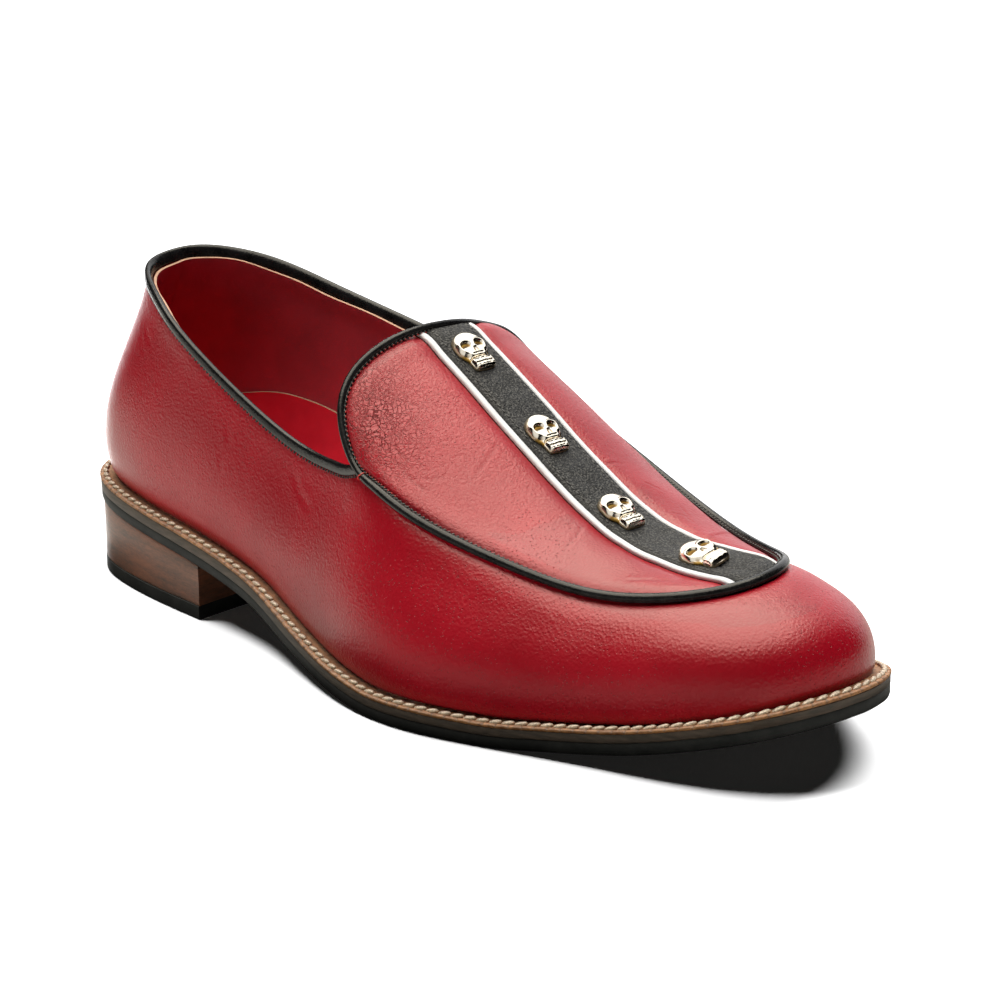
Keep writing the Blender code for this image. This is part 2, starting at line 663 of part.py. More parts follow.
def build_bottom():
    """Midsole, outsole, insole and heel, from the welt down."""
    midsole_top = WELT_THICK + GAP
    outsole_top = midsole_top + MIDSOLE_THICK + GAP
    plate("midsole", [(0.2, lambda x: sole_top(x) - midsole_top - MIDSOLE_THICK),
                      (0.1, lambda x: sole_top(x) - midsole_top)], MIDSOLE_BOARD)
    plate("outsole", [(BOTTOM_INSET, underside),
                      (0.2, lambda x: underside(x) + 0.9),
                      (0.2, lambda x: sole_top(x) - outsole_top)], BLACK_RUBBER)
    plate("insole", [(INSOLE_INSET, lambda x: sole_top(x) - WELT_THICK + 0.1),
                     (INSOLE_INSET, lambda x: sole_top(x) + INSOLE_RISE)], SOCK_LEATHER)
    plate("heel_block", [(HEEL_INSET_LIFT, lambda x: LIFT_THICK + GAP),
                         (HEEL_INSET_TOP, lambda x: underside(x) - GAP)],
          HEEL_LEATHER, last=HEEL_BREAST_TOP, hollow=BREAST_HOLLOW)
    plate("top_lift", [(HEEL_INSET_LIFT, lambda x: 0.0),
                       (HEEL_INSET_LIFT, lambda x: LIFT_THICK)],
          BLACK_RUBBER, last=HEEL_BREAST_LIFT, hollow=BREAST_HOLLOW)


COVER = cover_of(build_upper())
build_binding()
build_piping()
build_strip(COVER)
for number, stud_x in enumerate(STUD_X, start=1):
    build_stud(f"skull_stud_{number}", COVER, stud_x)
build_welt()
build_bottom()
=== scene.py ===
# %% [markdown]
# # Dressing a red loafer
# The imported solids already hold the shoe's true size and place. This lesson lays smooth,
# detailed pieces over them: stretched leather with its grain and creases, rolled pipings, rows
# of stitches, cast studs, and a stitched welt on a layered sole. Everything is worked out in the
# shoemaker's own frame, in millimetres: X runs from the back of the heel to the toe, +Y is the
# inner (medial) side of the foot and Z is up from the ground.

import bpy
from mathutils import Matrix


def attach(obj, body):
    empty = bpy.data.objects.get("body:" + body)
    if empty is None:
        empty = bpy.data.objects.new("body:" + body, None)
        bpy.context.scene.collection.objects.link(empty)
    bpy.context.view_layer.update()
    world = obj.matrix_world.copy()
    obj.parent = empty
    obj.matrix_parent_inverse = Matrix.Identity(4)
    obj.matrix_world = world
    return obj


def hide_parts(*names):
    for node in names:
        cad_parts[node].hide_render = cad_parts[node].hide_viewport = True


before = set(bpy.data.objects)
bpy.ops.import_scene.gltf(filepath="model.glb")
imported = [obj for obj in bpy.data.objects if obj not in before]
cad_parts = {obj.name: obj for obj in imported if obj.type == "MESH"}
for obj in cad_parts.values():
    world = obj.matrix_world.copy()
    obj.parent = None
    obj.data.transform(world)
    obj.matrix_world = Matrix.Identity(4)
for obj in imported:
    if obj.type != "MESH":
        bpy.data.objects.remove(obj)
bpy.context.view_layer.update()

import math
import bmesh
import bpy
import numpy as np
from mathutils import Matrix, Vector
from mathutils.bvhtree import BVHTree

print("nodes:", ", ".join(sorted(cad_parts)))

# %% [markdown]
# ## The camera, the floor and the light
# A shoe is shown best from a little above, three quarters from the toe, with a long lens that
# keeps the toe from swelling. The camera is set first, because the grain and the stitches only
# have to be as fine as it can see. Its place comes from a target, two angles and a distance.

# %% Set the camera
def place(name, data):
    """An object with this data, linked into the scene."""
    made = bpy.data.objects.new(name, data)
    bpy.context.scene.collection.objects.link(made)
    return made


VIEW_TURN, VIEW_RISE, VIEW_ROLL = (math.radians(a) for a in (47.67, 16.86, -1.52))
VIEW_DISTANCE = 0.99835
VIEW_TARGET = Vector((0.0, 0.0034, 0.040))
LENS_SHARE, SENSOR = 3.5074, 36.0      # focal length over sensor width, and that width in mm
VIEW_SHIFT = (0.0455, 0.0161)

back = Vector((math.sin(VIEW_TURN) * math.cos(VIEW_RISE),
               -math.cos(VIEW_TURN) * math.cos(VIEW_RISE), math.sin(VIEW_RISE)))
level = Vector((math.cos(VIEW_TURN), math.sin(VIEW_TURN), 0.0))
upright = back.cross(level)
across = math.cos(VIEW_ROLL) * level + math.sin(VIEW_ROLL) * upright
above = -math.sin(VIEW_ROLL) * level + math.cos(VIEW_ROLL) * upright
camera_data = bpy.data.cameras.new("camera")
camera_data.sensor_width, camera_data.lens = SENSOR, LENS_SHARE * SENSOR
camera_data.shift_x, camera_data.shift_y = VIEW_SHIFT
camera = place("camera", camera_data)
turn = Matrix((across, above, back)).transposed().to_4x4()
camera.matrix_world = Matrix.Translation(VIEW_TARGET + back * VIEW_DISTANCE) @ turn
bpy.context.scene.camera = camera
print("camera at", [round(v, 3) for v in camera.location])

# %% [markdown]
# ## The last
# Leather takes its shape from the last, so the last comes first. It is a table of stations:
# at each distance from the heel, how far out the sole's edge lies on both sides, and where the
# top of the wall is, which is the collar at the back and the apron's seam in front. Ribs run
# from the sole's edge up to that line, and from that line up to the middle of the apron.
# Smooth curves through short tables are easy to change and never lumpy.

# %% Tables of the last
def table(names, *rows):
    """A short table: its columns by name."""
    return dict(zip(names.split(), np.array(rows, float).T))


MIDDLE = np.array([150.0, -3.4, 0.0])     # point of the last's frame at the object's origin
FEATHER_INSET, FEATHER_LIFT = 4.4, 0.3    # where the upper meets the sole, from its edge and top
AXIS_Y = 1.5
THROAT_X, SPINE_END, THROAT_BOW = 141.9, 253.0, -21.5
TOE_ROW, CORNER_ROW = 11, 5               # rows of the last at the toe and the collar's corner

LAST = table(
    "sole  lateral medial  lat_x   lat_y   lat_z  med_x  med_y  med_z",
    (0,     0.0,   0.0,    23.3,    2.0,   98.7,  23.3,   2.0,  98.7),
    (8,   -18.6,  18.5,    26.7,  -10.0,   97.0,  26.5,  12.5,  98.8),
    (30,  -29.0,  29.5,    43.2,  -20.5,   92.5,  38.8,  24.0,  95.9),
    (66,  -34.5,  33.0,    69.5,  -28.5,   82.6,  65.8,  32.0,  88.4),
    (105, -39.6,  30.0,   116.2,  -31.5,   63.9, 112.0,  34.5,  79.6),
    (145, -50.9,  35.0,   153.5,  -39.3,   62.5, 147.6,  41.2,  67.8),
    (185, -56.9,  45.0,   180.5,  -41.5,   54.5, 178.5,  41.9,  56.1),
    (215, -50.3,  50.0,   208.0,  -34.5,   46.0, 208.0,  36.9,  47.9),
    (245, -41.8,  48.1,   234.0,  -26.8,   41.5, 235.8,  29.3,  44.0),
    (270, -35.2,  39.6,   252.8,  -20.1,   43.0, 254.1,  21.4,  45.2),
    (290, -23.5,  26.2,   263.5,  -11.7,   45.0, 264.3,  12.5,  47.1),
    (300,   4.8,   4.8,   268.0,    1.9,   46.9, 268.0,   1.9,  46.9))
EDGE_AT_HEEL, EDGE_THINS_BY = 7.67, 0.61     # the sole's edge, welt and all
UNDERSIDE = table("x z", (0, 23.6), (35, 20.7), (68, 17.7), (100, 12.9), (130, 5.7),
                  (158, 1.4), (178, 0.0), (212, 0.0), (232, 1.8), (250, 4.3),
                  (280, 11.3), (300, 16.8))
WAIST_ROWS = ((110, 15, 86, .38, .31), (150, 16, 79, .38, .32), (185, 17, 69, .38, .34),
              (215, 17, 57, .38, .36))
WALL_SIDES = (         # the lateral side, then the medial one
    table("x lean slope low high", (0, 19.2, 84.6, .35, .27), (30, 21.6, 86, .38, .27),
          (70, 16, 89, .39, .30), *WAIST_ROWS, (245, 15, 43, .39, .39), (270, 11, 29, .42, .43),
          (300, 6, 13, .46, .48)),
    table("x lean slope low high", (0, 19, 82, .40, .27), (30, 16, 89, .40, .29),
          (70, 15, 89, .39, .30), *WAIST_ROWS, (245, 15, 45, .39, .39), (270, 10, 33, .40, .42),
          (300, 6, 13, .46, .48)))
APRON_SIDES = (
    table("x slope low high", (142, 90.3, .42, .68), (155, 86.4, .43, .62), (170, 72, .37, .58),
          (190, 54, .35, .50), (210, 41, .34, .45), (235, 28, .34, .40), (255, 17, .34, .36),
          (268, 6, .34, .34)),
    table("x slope low high", (142, 97.2, .37, .63), (155, 87.3, .37, .62),
          (170, 74.7, .39, .60), (190, 63.6, .39, .57), (210, 46.4, .37, .53),
          (235, 27.6, .35, .49), (255, 15.9, .34, .43), (268, 5, .34, .34)))
RIDGE = table("x z tilt", (134, 99.2, 0), (143, 94.5, 0), (154, 88.4, 0), (164.5, 82.0, .01),
              (174.5, 75.6, 0), (184, 69.3, -.02), (194, 62.9, -.03), (204, 56.8, -.02),
              (214, 51.7, .02), (224, 48.3, .08), (236, 46.4, .13), (251, 45.7, .14),
              (260, 45.6, .09), (272, 45.2, 0))
print("stations of the last:", len(LAST["sole"]))


# %% Curves through tables
def flow(x, xs, ys):
    """Smooth curve through a table that never overshoots its rows."""
    step, rise = np.diff(xs), np.diff(ys)
    slope = rise / step
    tangent = np.zeros_like(ys)
    tangent[0], tangent[-1] = slope[0], slope[-1]
    for i in range(1, len(xs) - 1):
        if slope[i - 1] * slope[i] > 0:
            a, b = 2 * step[i] + step[i - 1], step[i] + 2 * step[i - 1]
            tangent[i] = (a + b) / (a / slope[i - 1] + b / slope[i])
    x = np.clip(np.asarray(x, float), xs[0], xs[-1])
    i = np.clip(np.searchsorted(xs, x, side="right") - 1, 0, len(xs) - 2)
    u = (x - xs[i]) / step[i]
    return (ys[i] + rise[i] * u * u * (3 - 2 * u)
            + step[i] * u * (1 - u) * ((1 - u) * tangent[i] - u * tangent[i + 1]))


def column(rows, name, x):
    """A column of a table, as a smooth curve over x."""
    return flow(x, rows["x"], rows[name])


class Loop:
    """Closed cubic spline through points at given values of its parameter."""

    def __init__(self, points, knots=None):
        count = len(points)
        self.points = np.vstack([points, points[:1]])
        if knots is None:
            steps = np.linalg.norm(np.diff(self.points, axis=0), axis=1)
            knots = np.r_[0.0, np.cumsum(steps)] / steps.sum()
        self.knots = knots
        h = np.diff(knots)
        system, right = np.zeros((count, count)), np.zeros_like(points)
        for i in range(count):
            before, after, nxt = h[i - 1], h[i], (i + 1) % count
            system[i, i - 1] += 1 / before
            system[i, i] += 2 / before + 2 / after
            system[i, nxt] += 1 / after
            right[i] = 3 * ((points[i] - points[i - 1]) / before ** 2
                            + (points[nxt] - points[i]) / after ** 2)
        tangents = np.linalg.solve(system, right)
        self.tangents = np.vstack([tangents, tangents[:1]])

    def segment(self, t):
        t = np.asarray(t, float) % 1.0
        i = np.clip(np.searchsorted(self.knots, t, side="right") - 1, 0, len(self.knots) - 2)
        h = (self.knots[i + 1] - self.knots[i])[..., None]
        u = (t - self.knots[i])[..., None] / h
        return h, u, self.points[i], self.points[i + 1], self.tangents[i], self.tangents[i + 1]

    def at(self, t):
        h, u, p, q, m, n = self.segment(t)
        return p + (q - p) * u * u * (3 - 2 * u) + h * u * (1 - u) * ((1 - u) * m - u * n)

    def direction(self, t):
        h, u, p, q, m, n = self.segment(t)
        return (q - p) / h * 6 * u * (1 - u) + m * (1 - u) * (1 - 3 * u) + n * u * (3 * u - 2)


def around(lateral, medial):
    """Rows of the table in walking order: lateral side to the toe, medial side back."""
    near = np.stack([LAST[name] for name in lateral], axis=1)
    far = np.stack([LAST[name] for name in medial], axis=1)
    return np.vstack([near, far[-2:0:-1]])


SOLE_LOOP = Loop(around(("sole", "lateral"), ("sole", "medial")))
SEAM_LOOP = Loop(around(("lat_x", "lat_y", "lat_z"), ("med_x", "med_y", "med_z")),
                 SOLE_LOOP.knots)
T_CORNER = SOLE_LOOP.knots[CORNER_ROW]
T_TOE = SOLE_LOOP.knots[TOE_ROW]
T_FAR_CORNER = SOLE_LOOP.knots[2 * TOE_ROW - CORNER_ROW]
print("seam runs from turn", round(T_CORNER, 3), "to", round(T_FAR_CORNER, 3))


# %% Surfaces of the last
def outward(t):
    d = SOLE_LOOP.direction(t)
    n = np.stack([d[..., 1], -d[..., 0]], axis=-1)
    return n / np.linalg.norm(n, axis=-1, keepdims=True)


def outline(t, inset=0.0):
    """Plan of the sole's edge, drawn in by inset."""
    return SOLE_LOOP.at(t) - outward(t) * inset


def underside(x):
    return column(UNDERSIDE, "z", x)


def sole_top(x):
    share = np.clip((np.asarray(x) - 60.0) / 120.0, 0, 1)
    return underside(x) + EDGE_AT_HEEL - EDGE_THINS_BY * share


def on_side(t, sides, name, x):
    """A column of the lateral table before the toe, of the medial table after it."""
    return np.where(t <= T_TOE, *(column(side, name, x) for side in sides))


def ribs_between(corners, v):
    """Points at shares v of the Bezier curves that have these four rows of corners."""
    a, b, c, d = (points[:, None] for points in corners)
    v = np.asarray(v, float)[..., :, None]
    return (1 - v) ** 3 * a + 3 * v * (1 - v) ** 2 * b + 3 * v * v * (1 - v) * c + v ** 3 * d


def flat_and_up(plan, run, rise):
    """Vectors that go run along a plan direction and rise upwards."""
    return np.column_stack([plan * run[:, None], rise])


def wall(t, v):
    """Quarter and vamp: t goes round the shoe, v from the feather line (0) to the top (1)."""
    t = np.asarray(t, float) % 1.0
    plan = outline(t, FEATHER_INSET)
    foot = np.column_stack([plan, sole_top(plan[:, 0]) + FEATHER_LIFT])
    seam = SEAM_LOOP.at(t)
    x = SOLE_LOOP.at(t)[:, 0]
    lean, slope, low, high = (on_side(t, WALL_SIDES, name, x)
                              for name in ("lean", "slope", "low", "high"))
    lean, slope = np.radians(lean), np.radians(slope)
    rib = np.linalg.norm(seam - foot, axis=1)
    low, high, out = rib * low, rib * high, outward(t)
    first = foot + flat_and_up(out, low * np.sin(lean), low * np.cos(lean))
    second = seam + flat_and_up(out, high * np.cos(slope), -high * np.sin(slope))
    return ribs_between((foot, first, second, seam), v)


def apron(t, v):
    """Apron plug: t along the seam, v from the seam (0) to the middle line (1)."""
    t = np.asarray(t, float)
    seam = SEAM_LOOP.at(t)
    share = np.where(t <= T_TOE, (t - T_CORNER) / (T_TOE - T_CORNER),
                     (T_FAR_CORNER - t) / (T_FAR_CORNER - T_TOE)).clip(0, 1)
    spine_x = THROAT_X + (SPINE_END - THROAT_X) * share
    spine = np.column_stack([spine_x, np.full_like(spine_x, AXIS_Y), column(RIDGE, "z", spine_x)])
    across = spine[:, :2] - seam[:, :2]
    width = np.linalg.norm(across, axis=1)
    across = across / width[:, None]
    rib = np.linalg.norm(spine - seam, axis=1)
    slope, low, high = (on_side(t, APRON_SIDES, name, seam[:, 0])
                        for name in ("slope", "low", "high"))
    slope, low, high = np.radians(slope), rib * low, width * high
    fall = column(RIDGE, "z", spine_x + 0.5) - column(RIDGE, "z", spine_x - 0.5)
    ease = (1 - share) ** 2
    run = across[:, 0] * (1 - ease)      # the ribs meet the middle line squarely at the throat
    crown = run * fall + across[:, 1] * column(RIDGE, "tilt", spine_x)
    first = seam + flat_and_up(across, low * np.cos(slope), low * np.sin(slope))
    second = spine - np.column_stack([high * run, high * across[:, 1], high * crown])
    first[:, 0] += THROAT_BOW * ease
    return ribs_between((seam, first, second, spine), v)


heel_rib = wall([0.0], [0.0, 1.0])[0]
print("heel rib from", heel_rib[0].round(1), "to", heel_rib[1].round(1))

# %% [markdown]
# ## From grids of points to pieces
# Every piece here is a grid of points worked out from the last and closed into a solid skin.
# Building meshes from points keeps full control of thickness, edges and seams, where a stack of
# modifiers would only round things off. One helper makes the object, gives it its finish, and hides
# the imported solid it stands for.

# %% Helpers for grids and pieces
MM = 0.001
made_pieces = {}


def unit(vectors):
    return vectors / np.linalg.norm(vectors, axis=-1, keepdims=True)


def smooth(value, low, high):
    """Soft step from 0 at low to 1 at high."""
    u = np.clip((np.asarray(value, float) - low) / (high - low), 0, 1)
    return u * u * (3 - 2 * u)


def hump(value, middle, width):
    return np.exp(-((np.asarray(value, float) - middle) / width) ** 2)


def run_along(points, axis=0):
    """Distance gone along a line, or along one direction of a grid, from 0 at its start."""
    steps = np.linalg.norm(np.diff(points, axis=axis), axis=-1)
    return np.concatenate([np.zeros_like(steps.take([0], axis)), np.cumsum(steps, axis)], axis)


def grid_faces(columns, rows, closed=False, start=0, flip=False):
    """Quads of a grid whose points go column by column."""
    i = np.arange(columns if closed else columns - 1)[:, None]
    j = np.arange(rows - 1)[None, :]
    here, there = start + i * rows + j, start + ((i + 1) % columns) * rows + j
    quads = np.stack([here, there, there + 1, here + 1], axis=-1).reshape(-1, 4)
    return quads[:, ::-1] if flip else quads


def upright_to(ahead, ups):
    """The upward directions, squared to the way ahead."""
    return unit(ups - ahead * np.sum(ups * ahead, axis=1, keepdims=True))


def grid_normals(grid, closed=False):
    along = (np.roll(grid, -1, 0) - np.roll(grid, 1, 0)) if closed else np.gradient(grid, axis=0)
    return unit(np.cross(along, np.gradient(grid, axis=1)) + 1e-12)


def rim_faces(columns, rows, closed, second):
    """Quads that join the edges of two stacked grids; the second starts at that index."""
    def band(line, wrap):
        ends = np.roll(line, -1) if wrap else line[1:]
        line = line if wrap else line[:-1]
        return np.stack([line, line + second, ends + second, ends], axis=-1)

    low, high = np.arange(columns) * rows, np.arange(columns) * rows + rows - 1
    quads = [band(low, closed), band(high, closed)[:, ::-1]]
    if not closed:
        first, last = np.arange(rows), (columns - 1) * rows + np.arange(rows)
        quads += [band(first, False)[:, ::-1], band(last, False)]
    return np.vstack(quads)


def skin(outer, inner, closed=False):
    """Points and faces of the closed skin between two grids of the same size."""
    columns, rows = outer.shape[:2]
    points = np.vstack([outer.reshape(-1, 3), inner.reshape(-1, 3)])
    faces = np.vstack([grid_faces(columns, rows, closed),
                       grid_faces(columns, rows, closed, columns * rows, flip=True),
                       rim_faces(columns, rows, closed, columns * rows)])
    return points, faces.tolist()


def piece(name, shape, finish, stands_for=(), crisp=None, weld=None, marks=None):
    """One object from (points, faces) in the last's frame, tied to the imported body."""
    points, faces = shape
    mesh = bpy.data.meshes.new(name)
    mesh.from_pydata(((points - MIDDLE) * MM).tolist(), [], faces)
    for mark, values in (marks or {}).items():
        mesh.attributes.new(mark, "FLOAT", "POINT").data.foreach_set("value", values)
    work = bmesh.new()
    work.from_mesh(mesh)
    if weld:
        bmesh.ops.remove_doubles(work, verts=work.verts, dist=weld * MM)
    bmesh.ops.recalc_face_normals(work, faces=work.faces)
    work.to_mesh(mesh)
    work.free()
    mesh.shade_smooth()
    if crisp:
        mesh.set_sharp_from_angle(angle=math.radians(crisp))
    mesh.materials.append(finish.material)
    made = made_pieces[name] = place(name, mesh)
    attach(made, "root")
    if stands_for:
        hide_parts(*stands_for)
    print(f"{name}: {sum(len(f.vertices) - 2 for f in mesh.polygons)} triangles")
    return made


def tube_faces(stations, rows, closed=False):
    """Quads round a bar made of closed sections, with its two ends if it isn't a ring."""
    i, j = np.arange(stations if closed else stations - 1)[:, None], np.arange(rows)[None, :]
    here, there, up = i * rows, (i + 1) % stations * rows, (j + 1) % rows
    faces = np.stack([here + j, here + up, there + up, there + j], axis=-1).reshape(-1, 4).tolist()
    if not closed:
        faces += [list(range(rows)), list(range((stations - 1) * rows, stations * rows))]
    return faces


def tube(grid, closed=False):
    """Points and faces of a bar from its sections, station by station."""
    return grid.reshape(-1, 3), tube_faces(*grid.shape[:2], closed)


def across_lines(centres, sides, ups, section):
    """Points of sections set up along a line; section rows are (side, up)."""
    return centres[:, None] + sides[:, None] * section[..., :1] + ups[:, None] * section[..., 1:]


def sweep(centres, ups, section, closed=False):
    """Points and faces of a bar: section rows are (side, up) in mm, or one such set a station."""
    centres, ups = np.asarray(centres, float), np.asarray(ups, float)
    if closed:
        ahead = unit(np.roll(centres, -1, 0) - np.roll(centres, 1, 0))
    else:
        ahead = unit(np.gradient(centres, axis=0))
    ups = upright_to(ahead, ups)
    return tube(across_lines(centres, np.cross(ups, ahead), ups, np.asarray(section, float)),
                closed)


def rounded(points, turns=2):
    """Cuts the corners of a closed section again and again, so that it becomes round."""
    points = np.asarray(points, float)
    for _ in range(turns):
        ahead = np.roll(points, -1, 0)
        points = np.stack([0.75 * points + 0.25 * ahead, 0.25 * points + 0.75 * ahead],
                          axis=1).reshape(-1, 2)
    return points


print("helpers ready")

# %% [markdown]
# ## A way to write finishes
# A finish is a small graph of nodes. Written as plain sums it stays readable, so one class
# wraps a socket and turns each operator into a Math node, and another holds a material and adds
# any other node from its type, its settings and its inputs.

# %% Sockets as numbers, materials as finishes
class Wire:
    """A socket that can stand in a sum."""

    def __init__(self, finish, socket):
        self.finish, self.socket = finish, socket

    def sum_of(operation, turned=False):
        def work(self, other):
            pair = (other, self) if turned else (self, other)
            return self.finish.node("ShaderNodeMath", {"operation": operation},
                                    dict(enumerate(pair)))
        return work

    __add__ = __radd__ = sum_of("ADD")
    __mul__ = __rmul__ = sum_of("MULTIPLY")
    __sub__, __rsub__ = sum_of("SUBTRACT"), sum_of("SUBTRACT", turned=True)

    def __neg__(self):
        return self * -1.0

    def step(self, low, high):
        """Soft step from 0 at low to 1 at high."""
        return self.finish.node("ShaderNodeMapRange", {"interpolation_type": "SMOOTHSTEP"},
                                {"Value": self, "From Min": low, "From Max": high})


class Finish:
    """A material whose nodes are added one call at a time, and a slot name, which is the material's
    own name unless another is given."""

    def __init__(self, name, slot=None, **constants):
        self.slot, self.material = slot or name, bpy.data.materials.new(name)
        self.material.use_nodes = True
        self.tree = self.material.node_tree
        self.shader = self.tree.nodes["Principled BSDF"]
        self.places = self.node("ShaderNodeTexCoord", output="Object")
        self.set(**constants)

    def feed(self, socket, value):
        if isinstance(value, Wire):
            self.tree.links.new(value.socket, socket)
        else:
            socket.default_value = value

    def set(self, **values):
        """Sets the shader's sockets; an underscore stands for a space."""
        for name, value in values.items():
            if name == "Base_Color" and not isinstance(value, Wire):
                value = (*value, 1.0)
            self.feed(self.shader.inputs[name.replace("_", " ")], value)

    def node(self, kind, settings=None, inputs=None, output=0):
        made = self.tree.nodes.new(kind)
        for name, value in (settings or {}).items():
            if name == "stops":
                for stop, (share, colour) in zip(made.color_ramp.elements, value):
                    stop.position, stop.color = share, (*colour, 1.0)
            else:
                setattr(made, name, value)
        for name, value in (inputs or {}).items():
            self.feed(made.inputs[name], value)
        return Wire(self, made.outputs[output])

    def mark(self, name):
        return self.node("ShaderNodeAttribute", {"attribute_name": name}, output="Fac")

    def stretched(self, x, y, z):
        return self.node("ShaderNodeVectorMath", {"operation": "MULTIPLY"},
                         {0: self.places, 1: (x, y, z)})

    def noise(self, scale, detail=2.0, where=None, rough=0.5, output=0):
        return self.node("ShaderNodeTexNoise", None,
                         {"Vector": where or self.places, "Scale": scale, "Detail": detail,
                          "Roughness": rough}, output)

    def cells(self, scale, feature="F1", where=None):
        return self.node("ShaderNodeTexVoronoi", {"feature": feature},
                         {"Vector": where or self.places, "Scale": scale}, output="Distance")

    def colours(self, share, first, second):
        first, second = (c if isinstance(c, Wire) else (*c, 1.0) for c in (first, second))
        return self.node("ShaderNodeMix", {"data_type": "RGBA"},
                         {0: share, 6: first, 7: second}, output=2)

    def relief(self, height, depth_mm, under=None):
        inputs = {"Height": height, "Strength": 1.0, "Distance": depth_mm * MM}
        if under:
            inputs["Normal"] = under
        return self.node("ShaderNodeBump", None, inputs, output="Normal")

    def two_tone(self, share, dark, light, height, depth_mm):
        """The plain recipe: one colour going over into another, and one relief."""
        self.set(Base_Color=self.colours(share, dark, light), Normal=self.relief(height, depth_mm))


print("finish tools ready")

# %% [markdown]
# ## Red leather
# The upper is smooth calf with a thin finish: deep red where it faces you, with a wide soft
# sheen where the light grazes it. Up close it has a fine pebbled grain, scattered pores, and a
# net of hair-thin wrinkles where it has been pulled over the last. The grain is a bump from
# small cells, the pores are the middles of larger cells, and the wrinkles are the borders of
# stretched cells, let in only where the marks on the mesh ask for them.
# The wrinkles and the creases are also painted a darker red, which is painted shade.

# %% The red leather's finish
RED_DEEP, RED_LIT = (0.305, 0.0010, 0.0090), (0.390, 0.0024, 0.0135)
# The first colour on the next line is painted shade, laid into the wrinkles and the creases; the
# second is the pores' own darker red.
RED_CREASE_SHADE, RED_PORE = (0.130, 0.002, 0.004), (0.090, 0.0015, 0.003)
GRAIN_DEPTH, ROLL_DEPTH, NET_DEPTH = 0.17, 0.045, 0.20


def wrinkle_net(finish):
    """Hair-thin wrinkles: the borders of bent cells, coarse ones and between them small ones."""
    wander = finish.noise(420.0, 3.0, output="Color")
    bent = finish.node("ShaderNodeVectorMath", {"operation": "MULTIPLY_ADD"},
                       {0: wander, 1: (0.0030, 0.0030, 0.0030), 2: finish.places})
    patchy = finish.noise(260.0, 2.0).step(0.36, 0.60)
    net = 1.0 - finish.cells(690.0, "DISTANCE_TO_EDGE", bent).step(0.02, 0.11)
    small = (1.0 - finish.cells(1250.0, "DISTANCE_TO_EDGE", bent).step(0.02, 0.15)) * 0.7
    return (net * (patchy * 0.8 + 0.2) + small * (1.0 - patchy) * 0.8) * finish.mark("crackle")


def red_leather(name, crackle=False):
    finish = Finish(name, "red_leather", Specular_IOR_Level=0.28)
    pores = 1.0 - finish.cells(980.0).step(0.10, 0.24)
    pores = pores * finish.noise(30.0, 2.0).step(0.34, 0.56)
    grain = finish.cells(1150.0) * 0.45 + finish.noise(900.0, 4.0, rough=0.65) * 0.50
    bump = finish.relief(grain - pores * 0.6, GRAIN_DEPTH)
    bump = finish.relief(finish.noise(170.0, 3.0), ROLL_DEPTH, bump)
    colour = finish.colours(finish.noise(30.0, 4.0).step(0.30, 0.70), RED_DEEP, RED_LIT)
    rough = finish.noise(90.0, 3.0) * 0.08 + 0.295 + pores * 0.15
    if crackle:
        net = wrinkle_net(finish)
        rough = rough + net * 0.5
        bump = finish.relief(-net, NET_DEPTH, bump)
        # Painted shade: the colour goes darker red along the wrinkle net and in the troughs of the
        # creases.
        colour = finish.colours(net * 0.9 + finish.mark("crease_shade") * 0.30, colour, RED_CREASE_SHADE)
    finish.set(Base_Color=finish.colours(pores * 0.6, colour, RED_PORE), Normal=bump,
               Roughness=rough)
    return finish


RED_WALL = red_leather("red_leather_wall")
RED_APRON = red_leather("red_leather_apron", crackle=True)
print("red leather ready")

# %% [markdown]
# ## The quarters and the vamp
# One band of leather runs round the whole shoe, from the welt up to the collar behind and to
# the apron's seam in front. It is lasted wet, so it follows the last closely, dips where the
# seam pulls it in under the piping, turns in at the feather line, and keeps soft undulations
# and a few creases. The ribs of the last give the surface, and small moves along its normal
# give the rest.

# %% Soft moves of the leather
def sway(points, size, wave, seed):
    """Slow undulation of a surface: a few waves through space, the same each time."""
    chance = np.random.default_rng(seed)
    total = np.zeros(points.shape[:-1])
    for _ in range(5):
        way = unit(chance.normal(size=3))
        total += np.sin(points @ way * (2 * math.pi / (wave * chance.uniform(0.75, 1.4)))
                        + chance.uniform(0, 2 * math.pi))
    return total * size / 2.2


def creases(spots, lines):
    """Soft troughs with raised shoulders: rows of (width, depth, spot, spot, ...)."""
    flat = spots.reshape(-1, 2)
    total = np.zeros(len(flat))
    for width, depth, *line in lines:
        line = np.array(line, float)
        lengths = np.linalg.norm(np.diff(line, axis=0), axis=1)
        start = np.r_[0.0, np.cumsum(lengths)]
        best, run = np.full(len(flat), 1e9), np.zeros(len(flat))
        for a, b, length, begun in zip(line[:-1], line[1:], lengths, start):
            share = np.clip((flat - a) @ (b - a) / length ** 2, 0, 1)
            gap = np.linalg.norm(flat - a - share[:, None] * (b - a), axis=1)
            nearer = gap < best
            best = np.where(nearer, gap, best)
            run = np.where(nearer, begun + share * length, run)
        share = run / start[-1]
        fade = smooth(share, 0.0, 0.22) * (1 - smooth(share, 0.75, 1.0)) + 0.12
        total += depth * fade * (0.45 * hump(best, 2.1 * width, 1.1 * width) - hump(best, 0, width))
    return total.reshape(spots.shape[:-1])


sample = sway(np.array([[50.0, -30.0, 60.0]]), 0.2, 60, 3)
print("sample undulation (mm):", round(float(sample[0]), 3))

# %% Build the wall's leather
LEATHER = 1.1
WALL_COLUMNS, WALL_ROWS = 600, 60
BINDING_BACK, BINDING_FRONT = 1.8, 0.3

t_wall = np.arange(WALL_COLUMNS) / WALL_COLUMNS


def collar_share(t):
    """1 along the collar, 0 along the apron's seam, with a short blend at the corners."""
    t = np.asarray(t, float) % 1.0
    before = smooth(t, T_CORNER - 0.010, T_CORNER - 0.002)
    after = 1 - smooth(t, T_FAR_CORNER + 0.002, T_FAR_CORNER + 0.010)
    return 1 - before * after


